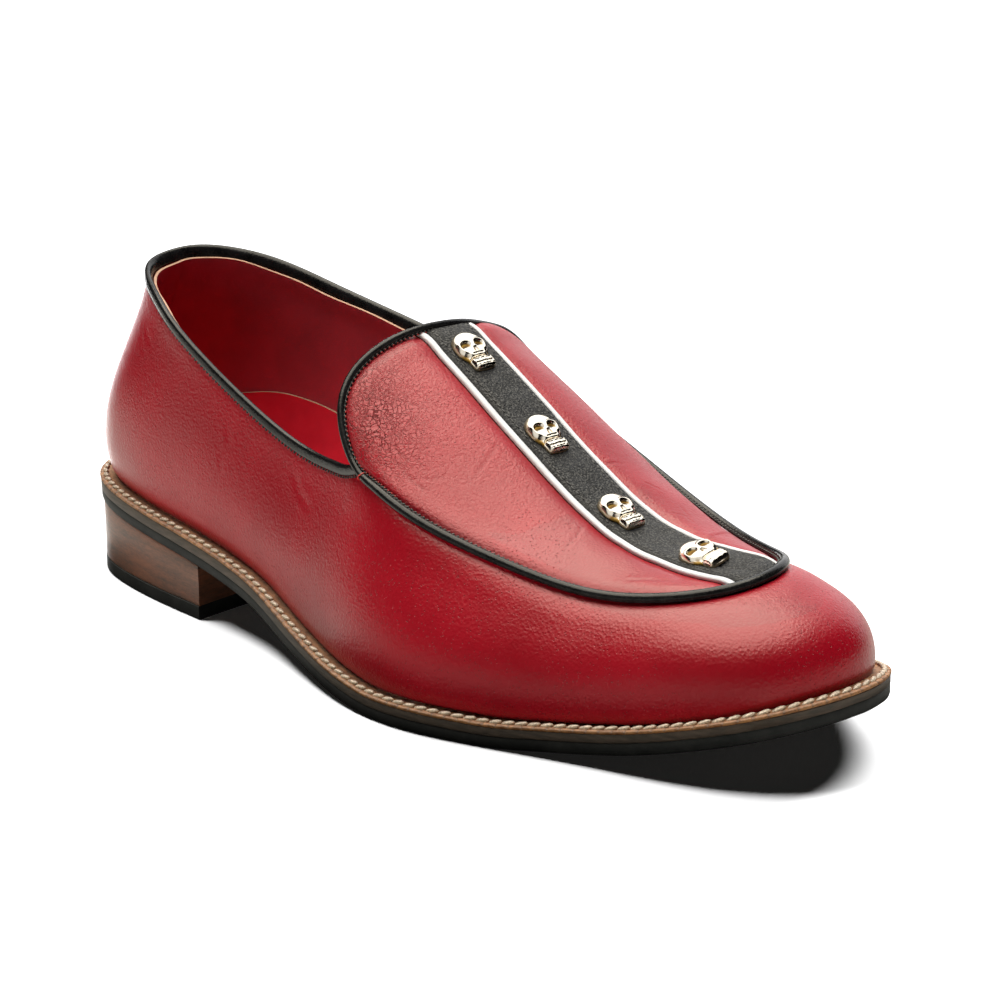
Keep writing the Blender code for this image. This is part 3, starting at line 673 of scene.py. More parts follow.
def wall_heights(t, cut, rows):
    """For each column, rib parameters whose top ends this many mm short of the rib's end."""
    fine, steps = np.linspace(0, 1, 80), np.linspace(0, 1, rows)
    runs = run_along(wall(t, fine), axis=1)
    return np.array([np.interp(steps * (run[-1] - short), run, fine)
                     for run, short in zip(runs, cut)])


cut = BINDING_FRONT + (BINDING_BACK - BINDING_FRONT) * collar_share(t_wall)
wall_grid = wall(t_wall, wall_heights(t_wall, cut, WALL_ROWS))
wall_out = grid_normals(wall_grid, closed=True)
from_foot = run_along(wall_grid, axis=1)
from_top = from_foot[:, -1:] - from_foot + cut[:, None]
front = 1 - collar_share(t_wall)[:, None]
lateral = wall_grid[..., 1] < 0

WALL_CREASES = [             # width, depth, then spots (x, z) from end to end
    (0.9, 0.16, (90.0, 66.0), (88.0, 60.0), (88.6, 57.0), (85.5, 51.0)),
    (0.8, 0.10, (84.0, 58.0), (86.0, 49.0), (83.0, 42.0)),
    (0.8, 0.12, (37.0, 81.0), (40.0, 79.0), (45.0, 76.5)),
    (0.7, 0.08, (33.0, 83.0), (36.0, 77.0), (41.0, 73.0)),
    (1.1, 0.10, (118.0, 55.0), (124.0, 49.0), (133.0, 46.0))]

# Pulled in by the seam and full beside it, pressed by the binding, turned in at the foot.
move = -0.75 * front * hump(from_top, 0.0, 2.2) + 0.22 * front * hump(from_top, 7.0, 4.0)
move -= 0.25 * (1 - front) * hump(from_top, 2.5, 2.2) + 0.5 * hump(from_foot, 0.0, 1.6)
move += sway(wall_grid, 0.10, 46.0, 5) * smooth(from_foot, 2, 12) * smooth(from_top, 2, 10)
move += creases(wall_grid[..., [0, 2]], WALL_CREASES) * lateral
wall_skin = wall_grid + wall_out * move[..., None]
wall_inner = wall_skin - grid_normals(wall_skin, closed=True) * LEATHER
piece("quarters_and_vamp", skin(wall_skin, wall_inner, closed=True), RED_WALL, ("upper",),
      crisp=60)

# %% [markdown]
# ## The apron
# The apron is the tongue-shaped plug on top of the foot. Its leather is drawn down into the
# seam all round, so it has a pillowed edge beside the piping, and it wrinkles finely where the
# foot bends. Its grid runs across the shoe, from the lateral seam over the middle line to the
# medial seam, station by station towards the toe.

# %% Build the apron's leather
STRIP_Y, STRIP_HALF, WHITE_WIDTH = 3.8, 8.5, 2.1
APRON_STATIONS, APRON_HALF, APRON_START = 300, 74, 0.008


def apron_grid(stations, half, first=0.0):
    """Points across the apron, station by station from the throat to the toe."""
    shares = first + (1 - first) * np.linspace(0, 1, stations)
    v = np.linspace(0, 1, half + 1)
    near = apron(T_CORNER + shares * (T_TOE - T_CORNER), v)
    far = apron(T_FAR_CORNER - shares * (T_FAR_CORNER - T_TOE) + 1e-9, v)
    return np.concatenate([near, far[:, -2::-1]], axis=1)


def apron_normals(grid):
    """Normals of an apron grid; its last station closes on itself and takes the one before."""
    normals = grid_normals(grid[:-1])
    return np.concatenate([normals, normals[-1:]], axis=0)


APRON_CREASES = [            # width, depth, then spots (x, y) from end to end
    (0.39, 0.19, (162.8, -23.5), (163.9, -28.6), (163.9, -32.2), (162.0, -34.6)),
    (0.33, 0.15, (159.5, -32.6), (156.0, -35.2), (153.6, -37.0)),
    (0.44, 0.19, (162.5, -34.0), (166.7, -34.8), (171.5, -35.6)),
    (0.50, 0.21, (166.0, -36.2), (172.3, -36.6), (179.0, -35.6)),
    (0.60, 0.12, (180.8, -9.5), (183.0, -17.2), (184.1, -21.8), (185.0, -24.5)),
    (0.33, 0.11, (171.8, -8.0), (173.0, -13.7), (172.2, -16.5)),
    (0.60, 0.14, (211.8, -9.0), (214.4, -14.9), (215.3, -18.7), (216.8, -22.5)),
    (0.39, 0.13, (174.8, -34.5), (177.9, -31.9), (179.2, -28.0)),
    (0.44, 0.17, (144.0, -28.0), (148.3, -33.0), (150.3, -36.2)),
    (0.33, 0.13, (147.5, -27.0), (152.0, -31.0), (154.5, -35.5)),
    (0.44, 0.17, (195.6, 15.5), (196.4, 22.5)),
    (0.44, 0.17, (216.0, 17.5), (220.0, 21.5), (224.5, 20.5)),
    (0.50, 0.23, (235.5, 14.0), (232.8, 18.3), (232.5, 26.0), (236.0, 28.5)),
    (0.44, 0.15, (214.5, 25.0), (222.7, 21.6)), (0.44, 0.15, (203.0, 21.0), (208.5, 26.0)),
    (0.55, 0.17, (250.0, -12.5), (243.0, -15.5), (236.0, -20.0))]

plug = apron_grid(APRON_STATIONS, APRON_HALF, APRON_START)
plug_up = apron_normals(plug)
run_over, from_throat = run_along(plug, axis=1), run_along(plug)
edge = np.minimum(np.minimum(run_over, run_over[:, -1:] - run_over), from_throat)
along_plug, over_plug = plug[..., 0], plug[..., 1]
folds = 0.6 * creases(plug[..., :2], APRON_CREASES) * smooth(edge, 0.5, 3.0)
# Drawn down into the seam and pillowed beside it, raised at the throat, pressed by the strip.
rise = -1.15 * hump(edge, 0.0, 3.1) + 0.25 * hump(edge, 6.5, 3.5)
rise += sway(plug, 0.12, 26.0, 9) * smooth(edge, 2, 9)
rise += folds
rise += 0.9 * hump(over_plug, -10, 15) * hump(from_throat, 0.0, 7.0)
rise += 0.8 * hump(over_plug, 22, 11) * hump(from_throat, 0.0, 10.0)
rise -= 0.75 * hump(np.abs(over_plug - STRIP_Y), STRIP_HALF + WHITE_WIDTH + 0.1, 2.3)
plug_skin = plug + plug_up * rise[..., None]
crackled = (0.92 * hump(along_plug, 154, 13) * hump(over_plug, -33, 10)
            + 0.16 * (1 - smooth(along_plug, 185, 235)))
# The crackle mark says where the wrinkle net goes; the second mark is painted shade, a darker
# colour in the troughs of the creases.
apron_marks = {name: np.r_[np.clip(amount, 0, 1).ravel(), np.zeros(amount.size)]
               for name, amount in (("crackle", crackled), ("crease_shade", -folds / 0.2))}
piece("apron", skin(plug_skin, plug_skin - plug_up * LEATHER), RED_APRON, crisp=60, weld=0.002,
      marks=apron_marks)
cover = BVHTree.FromPolygons(plug_skin.reshape(-1, 3).tolist(),
                             grid_faces(*plug_skin.shape[:2]).tolist())

# %% [markdown]
# ## Black rolled leather
# The collar and the apron are edged with thin black leather rolled round a cord. It has a
# tight, smooth grain and a clear line of light along its crown. The collar's binding is folded
# over the quarter's top edge and goes a few millimetres down inside, where the lining is sewn
# over it. A closed section carried along the edge makes both.

# %% The black leather's finish
# The light colour below is painted highlight, dotted on the tips of the grain.
GRAIN_GLINT = (0.105, 0.100, 0.090)


def black_leather(name, colour, rough, shine, grain_size, grain_depth, glints):
    """Grain from cells of one size; the light specks are painted highlights on the tips of the
    grain.
    """
    finish = Finish(name, "black_leather", Specular_IOR_Level=shine)
    # Painted highlights: light specks where the grain's tips would catch the light.
    painted_glint = finish.noise(grain_size * 1.35, 2.0).step(0.49, 0.62) * glints
    grain = finish.cells(grain_size) * 0.6 + finish.noise(grain_size * 0.35, 3.0) * 0.6
    lit = tuple(min(1.0, c * 1.9 + 0.004) for c in colour)
    tone = finish.colours(finish.noise(200.0, 3.0).step(0.3, 0.7), colour, lit)
    # The border mark keeps the glints off the strip's edges, so they stay dark: painted shade
    # beside the white pipings.
    painted_glint = painted_glint * (1.0 - finish.mark("border"))
    finish.set(Base_Color=finish.colours(painted_glint, tone, GRAIN_GLINT),
               Roughness=finish.noise(300.0, 2.0) * 0.16 + (rough - 0.08),
               Normal=finish.relief(grain, grain_depth))
    return finish


ROLLED_BLACK = black_leather("black_leather_rolled", (0.004, 0.004, 0.0045), rough=0.23,
                             shine=0.17, grain_size=1700.0, grain_depth=0.05, glints=0.10)
print("black leather ready")

# %% Build the collar binding
def seam_ahead(t):
    return unit(SEAM_LOOP.direction(t))


def collar_frame(t):
    """Collar points with the direction the wall ends in and the way into the shoe."""
    below, rim = wall(t, [0.965, 1.0]).transpose(1, 0, 2)
    rise = unit(rim - below)
    return rim, rise, unit(np.cross(rise, seam_ahead(t)))


COLLAR_STATIONS, END_RISE, END_RUN = 420, 1.6, 9.0     # the ends climb onto the apron's piping
TUCKS, TUCK_STEP = 4, 0.7                              # and are tucked in under it
BINDING = rounded([(-0.05, -3.05), (-0.60, -3.05), (-0.98, -2.65), (-1.02, -1.40), (-0.92, -0.25),
                   (-0.45, 0.22), (0.20, 0.22), (0.75, -0.15), (1.25, -0.95), (1.60, -2.1),
                   (1.75, -3.3), (1.30, -3.3), (1.2, -2.7), (0.2, -2.6)])
t_collar = np.linspace(T_FAR_CORNER - 1.0 + 0.001, T_CORNER - 0.001, COLLAR_STATIONS)
rims, rises, inwards = collar_frame(t_collar)
run_collar = run_along(rims)
to_end = np.minimum(run_collar, run_collar[-1] - run_collar)
rims[:, 2] += END_RISE * (1 - np.clip(to_end / END_RUN, 0, 1)) ** 2
tuck = np.arange(1, TUCKS + 1)[:, None] * TUCK_STEP
rims = np.vstack([rims[0] + unit(rims[0] - rims[4]) * tuck[::-1], rims,
                  rims[-1] + unit(rims[-1] - rims[-5]) * tuck])
rises, inwards = (np.vstack([rows[:1]] * TUCKS + [rows] + [rows[-1:]] * TUCKS)
                  for rows in (rises, inwards))
binding = across_lines(rims, inwards, rises, BINDING)
piece("collar_roll", tube(binding), ROLLED_BLACK, ("collar_binding",), crisp=70)

# %% [markdown]
# ## The apron's piping
# The piping is one closed loop: forward along the lateral seam, round the toe end, back along
# the medial seam, and across the throat's edge. Its flange lies flat towards the apron, and a
# row of stitches holds it there.

# %% Path of the piping
def apron_at(t, v):
    """One point of the apron."""
    return apron([t], [v])[0][0]


def seam_up(t):
    """Direction away from the shoe on its seam."""
    return unit(np.cross(seam_ahead(t), apron_at(t, 0.06) - wall([t], [0.96])[0][0]))


def apron_up(t, v):
    """Direction away from the shoe on its apron; close to the seam it turns to the seam's."""
    ahead = apron_at(t + 0.003, v) - apron_at(t - 0.003, v)
    rise = apron_at(t, v + 0.02) - apron_at(t, v - 0.02)
    share = min(1.0, v / 0.12)
    return unit(share * unit(np.cross(ahead, rise)) + (1 - share) * seam_up(t))


def throat_move(spot):
    """The throat's edge is pulled up in the middle and lies lower towards the medial side."""
    up_by = 0.9 * hump(spot[1], -10.0, 15.0) - 1.4 * hump(spot[1], 24.0, 11.0)
    return np.array([min(0.0, 0.5 * up_by), 0.0, up_by]) * hump(spot[0], 146.0, 14.0)


def piping_spot(corner, share, v):
    """A spot on the loop and its upward direction: share of the seam, and v over the apron."""
    t = corner + share * (T_TOE - corner)
    if v == 0.0:
        return SEAM_LOOP.at(t), seam_up(t)
    return apron_at(t, v), apron_up(t, min(v, 0.97))


def throat_spot(corner, share, v):
    """The same, moved as the throat's edge is."""
    spot, rise = piping_spot(corner, share, v)
    return spot + throat_move(spot), rise


THROAT_SHARE = 0.018
turn_in = [(0.055, 0.0), (0.038, 0.006), (0.027, 0.022), (THROAT_SHARE + 0.002, 0.050)]
turn_in += [(THROAT_SHARE, v) for v in (0.10, 0.18, 0.28, 0.38, 0.50, 0.62, 0.74, 0.87)]
seam_shares = np.linspace(0.085, 1.0, 19)
spots = [piping_spot(T_CORNER, share, 0.0) for share in seam_shares]
spots += [piping_spot(T_FAR_CORNER, share, 0.0) for share in seam_shares[-2::-1]]
spots += [throat_spot(T_FAR_CORNER, *turn) for turn in turn_in]
spots += [throat_spot(T_CORNER, *turn) for turn in [(THROAT_SHARE, 1.0)] + turn_in[::-1]]
PIPING_PATH = Loop(np.array([spot for spot, _ in spots]))
PIPING_UP = Loop(np.array([up for _, up in spots]), PIPING_PATH.knots)
print("piping loop (mm):", round(run_along(PIPING_PATH.at(np.linspace(0, 1, 2000)))[-1], 1))

# %% Build the piping
PIPING_STATIONS, ROLL_SIDES, ROLL_LIFT, ROLL_TALL = 900, 20, 0.42, 0.95
FLANGE_FITS = 1.25                        # half width of the roll that the flange is drawn for
FLANGE = np.array([(0.5, -0.5), (0.5, 0.40), (1.30, 0.28), (1.52, 0.02), (1.5, -0.5)])
t_piping = np.arange(PIPING_STATIONS) / PIPING_STATIONS
path, up = PIPING_PATH.at(t_piping), unit(PIPING_UP.at(t_piping))
roll_half = 1.08 + 0.20 * smooth(path[:, 0], 146, 165) + 0.16 * smooth(path[:, 0], 215, 262)
around_roll = np.linspace(0, 2 * math.pi, ROLL_SIDES, endpoint=False)
roll = np.column_stack([np.cos(around_roll), ROLL_LIFT + ROLL_TALL * np.sin(around_roll)])
widths = roll_half[:, None, None]
piece("piping_roll", sweep(path, up, roll * widths, closed=True), ROLLED_BLACK, ("apron_piping",))
piece("piping_flange", sweep(path, up, FLANGE * widths / FLANGE_FITS, closed=True), ROLLED_BLACK)

# %% [markdown]
# ## The centre strip
# A strip of black grained leather runs down the middle of the apron, from the throat to the
# toe, with a flat white piping along each edge. Strips like this are cut straight and then
# drape, so each point of the strip is found by dropping a ray onto the apron's own leather.

# %% Drop a strip on the apron
DROP_FROM, DOWN, MID_APRON_X = 200.0, Vector((0, 0, -1)), 205.0


def drop_on(x, y):
    """Spot and upward normal of the apron's leather at a plan point; None beside it."""
    spot, normal, _, _ = cover.ray_cast(Vector((float(x), float(y), DROP_FROM)), DOWN)
    if spot is None:
        return None
    return np.array(spot), np.array(-normal if normal.z < 0 else normal)


def reach(y, way):
    """How far towards the toe (way 1) or the throat (way -1) the apron goes at this y."""
    x = MID_APRON_X
    while drop_on(x + 0.5 * way, y):
        x += 0.1 * way
    return x


def soften(values, turns):
    """Evens out values along their first direction, ends kept."""
    for _ in range(turns):
        values = np.concatenate([values[:1], 0.25 * values[:-2] + 0.5 * values[1:-1]
                                 + 0.25 * values[2:], values[-1:]])
    return values


STRIP_THICK, STRIP_COLUMNS, STRIP_ROWS, SOFTENINGS = 0.95, 30, 260, 6
STRIP_BLACK = black_leather("black_leather_grained", (0.006, 0.0065, 0.0075), rough=0.58,
                            shine=0.12, grain_size=1500.0, grain_depth=0.30, glints=0.75)

strip_y = np.linspace(-1, 1, STRIP_COLUMNS)
columns = [[drop_on(x, y)[0] for x in np.linspace(reach(y, -1), reach(y, 1), STRIP_ROWS)]
           for y in STRIP_Y + strip_y * STRIP_HALF]
base = soften(np.array(columns).transpose(1, 0, 2), SOFTENINGS)
up_strip = grid_normals(base)
edge_mm = (1 - np.abs(strip_y)) * STRIP_HALF
height = STRIP_THICK * (0.25 + 0.75 * smooth(edge_mm, 0.0, 0.9)) - 0.28 * hump(edge_mm, 1.5, 0.45)
top = base + up_strip * height[None, :, None]
# Border mark: painted shade, a dark line along the strip's edges where no glints are painted.
border = np.broadcast_to(1 - smooth(edge_mm, 0.35, 0.9), top.shape[:2]).ravel()
piece("strip", skin(top, base - up_strip * 0.4), STRIP_BLACK, ("centre_strip",), crisp=50,
      marks={"border": np.r_[border, border]})

# %% [markdown]
# ## White pipings
# Each edge of the strip has a narrow white piping, laid half under it. A black band under each
# piping shows beside it as a hairline: it is painted shadow, a dark sheet standing in for the shade
# along the piping's edge. The piping is flatter than the black roll and slightly uneven, as
# hand-laid leather is, so its section is a low arch.

# %% Build the white pipings
WHITE = Finish("white_leather", Roughness=0.5)
WHITE.two_tone(WHITE.noise(120.0, 3.0).step(0.3, 0.75), (0.79, 0.78, 0.765), (0.68, 0.66, 0.64),
               WHITE.cells(1700.0) * 0.5 + WHITE.noise(500.0, 3.0) * 0.5, 0.03)
WHITE_HALF, WHITE_HEIGHT, WHITE_FOOT, SHADOW_LINE_SHOWS = WHITE_WIDTH / 2, 1.05, -0.4, 0.28
ARCH = [(-WHITE_HALF, WHITE_FOOT)] + [
    (-WHITE_HALF * math.cos(a), 0.12 + WHITE_HEIGHT * math.sin(a) ** 0.6)
    for a in np.linspace(0.15, math.pi - 0.15, 9)] + [(WHITE_HALF, WHITE_FOOT)]
# The black band under each piping is painted shadow: it shows 0.28 mm beside the piping as the dark
# hairline of shade along its edge.
SHADOW_LINE = [(side * (WHITE_HALF + SHADOW_LINE_SHOWS), up)
            for side, up in ((-1, WHITE_FOOT), (-1, 0.16), (1, 0.16), (1, WHITE_FOOT))]

for side, name, node in ((-1, "white_piping_outer", "strip_piping_lateral"),
                         (1, "white_piping_inner", "strip_piping_medial")):
    line_y = STRIP_Y + side * (STRIP_HALF + WHITE_HALF - 0.15)
    edges = (line_y - 1.0, line_y, line_y + 1.0)
    start, end = max(reach(y, -1) for y in edges), min(reach(y, 1) for y in edges)
    drops = [drop_on(x, line_y) for x in np.linspace(start, end, STRIP_ROWS)]
    line, ups = (soften(np.array(found), SOFTENINGS) for found in zip(*drops))
    piece(name, sweep(line, ups, ARCH), WHITE, (node,), crisp=60)
    # Painted shadow: the black band along the piping.
    piece(name + "_underlay", sweep(line, ups, SHADOW_LINE), ROLLED_BLACK)

# %% [markdown]
# ## The studs
# Four small cast skulls are riveted along the strip: a round brow towards the throat, two eye
# sockets, a short nose, cheekbones, and a narrow jaw with two rows of teeth. The relief is a height
# worked out over the plan of the stud, ring by ring from its middle to its edge, and the gold is
# darker in the hollows and down the rim to the strip.

# %% The studs' finish
GOLD = Finish("gold", Metallic=1.0)
hollow = GOLD.mark("hollow")
gold_tone = GOLD.colours(hollow.step(0.20, 0.75), (0.93, 0.855, 0.72), (0.34, 0.20, 0.045))
GOLD.set(Base_Color=gold_tone, Roughness=hollow.step(0.1, 0.8) * 0.20 + 0.16,
         Normal=GOLD.relief(GOLD.noise(900.0, 3.0), 0.02))
print("gold ready")

# %% Build the studs
STUD_LENGTH, STUD_WIDTH = 14.0, 10.2
STUD_X, STUD_Y = (155.8, 184.6, 213.3, 245.0), 2.6
SKULL_PLAN = table("x y", (-.50, .0), (-.485, .14), (-.43, .30), (-.33, .425), (-.18, .495),
                   (-.03, .50), (.08, .46), (.155, .41), (.20, .375), (.30, .37), (.42, .36),
                   (.485, .28), (.50, .0))


def skull_relief(x, y):
    """Height and hollowness of the skull at a spot of its plan, in mm from its middle."""
    out = np.abs(y)
    round_way = np.clip(((x + 2.0) / 5.4) ** 2 + (y / 5.3) ** 2, 0, 1)
    cranium = 1.50 + 0.75 * (1 - round_way) - 0.55 * smooth(round_way, 0.72, 1.0)
    jaw = (1.75 - 0.08 * out) * (1 - smooth(out, 3.2, 3.75)) * smooth(x, 2.9, 3.2) \
        * (1 - smooth(x, 6.3, 6.9))
    base = np.maximum(cranium * (1 - smooth(x, 2.5, 3.0)), jaw)
    socket = np.hypot((x + 1.2) / 1.60, (out - 2.45) / 1.85)
    base = base + 0.30 * hump(socket, 1.22, 0.20) * smooth(x, -0.3, -1.9)
    eyes = 0.85 * (1 - smooth(socket, 0.72, 1.05)) * (0.10 + 0.90 * smooth(x, 0.0, -2.0))
    nose = 0.8 * hump(out - 0.28 - 0.22 * (x + 0.2), 0, 0.26) * smooth(x, -0.5, -0.1) \
        * (1 - smooth(x, 0.9, 1.2))
    cheek = 0.65 * hump(x - 0.10 * out, 2.75, 0.26) * (1 - smooth(out, 3.4, 4.4))
    side = 0.65 * hump(np.hypot((x - 1.9) / 1.3, (out - 3.9) / 1.2), 0, 0.75)
    lip = 0.30 * hump(x, 1.75, 0.16) * (1 - smooth(out, 1.6, 2.3))
    bite = 0.42 * hump(x, 4.9, 0.17) + 0.34 * hump(x, 3.75, 0.12) + 0.30 * hump(x, 5.9, 0.12)
    gaps = 0.22 * hump(np.sin(math.pi * (y + 0.45) / 0.90), 0, 0.30) * smooth(x, 3.8, 3.95) \
        * (1 - smooth(x, 5.7, 5.9))
    dug = eyes + nose + cheek + side + lip + (bite + gaps) * (1 - smooth(out, 2.9, 3.4))
    return base - dug, dug


STUD_SPOKES, STUD_RINGS, STUD_RIM = 128, 34, 0.5


def build_stud(name, node, x):
    around_it = [drop_on(x + dx, STUD_Y + dy)[0] for dx in (-5, 0, 5) for dy in (-3.6, 0, 3.6)]
    centre, normal = drop_on(x, STUD_Y)
    ahead = unit(drop_on(x + 4, STUD_Y)[0] - drop_on(x - 4, STUD_Y)[0])
    normal = unit(normal - ahead * (normal @ ahead))
    crest = max(float((spot - centre) @ normal) for spot in around_it)
    centre = centre + normal * (crest + STRIP_THICK - 0.05)
    angle = np.linspace(0, 2 * math.pi, STUD_SPOKES, endpoint=False)
    plan_x = -0.5 * np.cos(angle)
    plan_y = column(SKULL_PLAN, "y", plan_x) * np.sign(np.sin(angle) + 1e-12)
    shares = np.r_[np.linspace(0.03, 0.90, STUD_RINGS), 0.93, 0.96, 0.98, 0.992, 1.0]
    xs, ys = shares[:, None] * (plan_x * STUD_LENGTH), shares[:, None] * (plan_y * STUD_WIDTH)
    tall, dug = skull_relief(xs, ys)
    rim = np.sqrt(1 - np.clip((shares - 0.86) / 0.14, 0, 1) ** 2)[:, None]
    tall = np.maximum(STUD_RIM + np.maximum(tall, 0.35) * rim, STUD_RIM)
    xs, ys, tall = (np.vstack(pair) for pair in ((xs, xs[-1:]), (ys, ys[-1:]),
                                                 (tall, 0 * tall[-1:])))
    dug = np.vstack([dug + 0.5 * smooth(shares, 0.90, 0.99)[:, None], dug[-1:] + 0.6])
    points = (centre + xs[..., None] * ahead + ys[..., None] * np.cross(normal, ahead)
              + tall[..., None] * normal)
    piece(name, tube(points), GOLD, (node,), crisp=60, marks={"hollow": dug.ravel()})


for number, stud_x in enumerate(STUD_X, start=1):
    build_stud(f"skull_{number}", f"skull_stud_{number}", stud_x)

# %% [markdown]
# ## Thread
# Stitches hold all of this together, and their even rhythm is what makes a shoe look made. One
# bead, tapered at both ends, is copied along a line at the thread's pitch, so a row is one
# piece with real relief.

# %% Helper for rows of stitches
BEAD = ((-0.50, 0.10), (-0.40, 0.62), (-0.20, 0.95), (0.20, 0.95), (0.40, 0.62), (0.50, 0.10))
BEAD_SIDES = 6


def bead(length, width, height):
    """A stitch about its own middle: points (along, side, up) and faces."""
    angles = np.arange(BEAD_SIDES) * 2 * math.pi / BEAD_SIDES
    points = np.array([(share * length, swell * width / 2 * math.cos(a),
                        swell * height / 2 * math.sin(a)) for share, swell in BEAD for a in angles])
    return points, tube_faces(len(BEAD), BEAD_SIDES)


def spaced(line, ups, pitch, closed=False):
    """Evenly spaced points of a line, with the way ahead and up at each."""
    if closed:
        line, ups = np.vstack([line, line[:1]]), np.vstack([ups, ups[:1]])
    run = run_along(line)
    count = int(round(run[-1] / pitch))
    at = (np.arange(count) + 0.5) * run[-1] / count

    def read(values, at):
        return np.stack([np.interp(at, run, values[:, k]) for k in range(3)], axis=1)

    ahead = unit(read(line, at + 0.3) - read(line, at - 0.3))
    return read(line, at), ahead, upright_to(ahead, read(ups, at))


def turned(first, second, degrees):
    """Two directions turned by this angle, the first towards the second."""
    c, s = math.cos(math.radians(degrees)), math.sin(math.radians(degrees))
    return first * c + second * s, second * c - first * s


def stitches(name, line, ups, pitch, size, finish, closed=False, skew=0.0, tip=0.0):
    """A row of beads along a line; skew turns each in plan and tip lifts one end, in degrees."""
    shape, shape_faces = bead(*size)
    spots, ahead, up = spaced(line, ups, pitch, closed)
    ahead, side = turned(ahead, np.cross(up, ahead), skew)
    ahead, up = turned(ahead, up, tip)
    points = (spots[:, None] + shape[None, :, :1] * ahead[:, None]
              + shape[None, :, 1:2] * side[:, None] + shape[None, :, 2:] * up[:, None])
    faces = [[k * len(shape) + i for i in face] for k in range(len(spots)) for face in shape_faces]
    piece(name, (points.reshape(-1, 3), faces), finish)


def thread(name, slot, colour, rough):
    finish = Finish(name, slot, Roughness=rough)
    twist = finish.noise(1500.0, 2.0)
    finish.two_tone(twist.step(0.35, 0.65), tuple(c * 0.6 for c in colour), colour, twist, 0.05)
    return finish


BLACK_THREAD = thread("black_thread", "black_leather", (0.014, 0.014, 0.015), 0.5)
RED_THREAD = thread("red_thread", "red_leather", (0.62, 0.045, 0.035), 0.55)
print("one stitch has", len(bead(1, 1, 1)[1]), "faces")

# %% Sew the trims
side_of_path = np.cross(up, unit(np.roll(path, -1, 0) - np.roll(path, 1, 0)))
beside = (roll_half * 1.16)[:, None]
PIPING_PITCH = 1.45
stitches("piping_stitches", path + side_of_path * beside + up * 0.22, up, PIPING_PITCH,
         (0.95, 0.55, 0.5), BLACK_THREAD, closed=True, skew=18)
near_throat = np.flatnonzero((path[:, 0] < 172) & (path[:, 1] < 2))
near_throat = np.roll(near_throat, -int(np.argmax(np.diff(near_throat) > 1)) - 1)
stitches("piping_red_stitches", (path + side_of_path * (beside + 0.28) + up * 0.05)[near_throat],
         up[near_throat], PIPING_PITCH, (0.55, 0.36, 0.34), RED_THREAD)
TACK_THREAD = [(0.2 * math.cos(a), 0.2 * math.sin(a)) for a in np.linspace(0, 2 * math.pi, 9)[:-1]]


def bar_tack(name, near):
    """A turn of thread over the roll, where the collar's binding goes under it."""
    k = int(np.argmin(np.linalg.norm(path - near, axis=1)))
    k += 8 if path[(k + 8) % len(path), 0] > path[k, 0] else -8
    aside, rise, loop = side_of_path[k], up[k], roll_half[k] + 0.12
    turn = np.radians(np.linspace(-25, 205, 24))[:, None]
    middle = path[k] + rise * roll_half[k] * ROLL_LIFT
    ring = (middle + aside * np.cos(turn) * loop + rise * np.sin(turn) * loop
            + np.cross(aside, rise) * 0.35 * np.cos(turn))
    piece(name, sweep(ring, aside * np.cos(turn) + rise * np.sin(turn), TACK_THREAD), RED_THREAD)


bar_tack("bar_tack_lateral", rims[-1])
bar_tack("bar_tack_medial", rims[0])
for side, name in ((-1, "strip_stitches_outer"), (1, "strip_stitches_inner")):
    k = np.argmin(np.abs(strip_y - side * (1 - 1.5 / STRIP_HALF)))
    line_up = up_strip[4:-4, k]
    stitches(name, top[4:-4, k] + line_up * 0.06, line_up, 2.1, (1.5, 0.55, 0.4), BLACK_THREAD)
stitches("collar_stitches", rims + inwards * -0.42 + rises * -3.45, -inwards, 1.6,
         (0.90, 0.85, 0.6), BLACK_THREAD)

# %% [markdown]
# ## The bottom of the shoe
# From the top down there is a tan welt that carries the seam, a brown leather midsole, a
# charcoal rubber outsole that arches behind the ball and springs up at the toe, and the heel:
# a block of stacked leather on a rubber top lift. Flat layers are ladders of points across the
# shoe, so their edges and their walking faces can both be shaped.

# %% Helpers for flat layers
WELT_THICK, MIDSOLE_HEEL, MIDSOLE_TOE = 1.0, 3.3, 2.5
HEEL_BREAST, BREAST_HOLLOW, LIFT_THICK = 74.8, 2.0, 4.4


def edge_at(xs, inset):
    """The inset outline at the same x on both sides: lateral row, medial row."""
    rows = []
    for turns in (np.linspace(0, T_TOE, 900), np.linspace(1, T_TOE, 900)):
        plan = outline(turns, inset)
        order = np.argsort(plan[:, 0])
        rows.append(np.interp(xs, plan[order, 0], plan[order, 1]))
    return rows


def rungs(inset, count, across, breast=None):
    """Grid of plan points: stations from the heel to the toe or the breast, points across each."""
    first, toe = outline(np.array([0.0, T_TOE]), inset)[:, 0]
    share = (1 - np.cos(np.linspace(0, math.pi, count))) / 2
    share = 0.75 * share + 0.25 * np.linspace(0, 1, count)
    if breast is not None:
        share = np.linspace(0, 1, count) ** 1.6
    xs = first + ((toe if breast is None else breast) - first) * share
    near, far = edge_at(xs, inset)
    middle = (near + far) / 2
    near[0] = far[0] = middle[0]
    if breast is None:
        near[-1] = far[-1] = middle[-1]
    spread = np.sin(np.linspace(-math.pi / 2, math.pi / 2, across))
    ys = middle[:, None] + (far - near)[:, None] / 2 * spread
    plan_x = np.repeat(xs[:, None], across, axis=1)
    if breast is not None:
        plan_x = plan_x - BREAST_HOLLOW * (1 - spread ** 2) * smooth(share, 0.55, 1.0)[:, None]
    return np.stack([plan_x, ys], axis=-1)


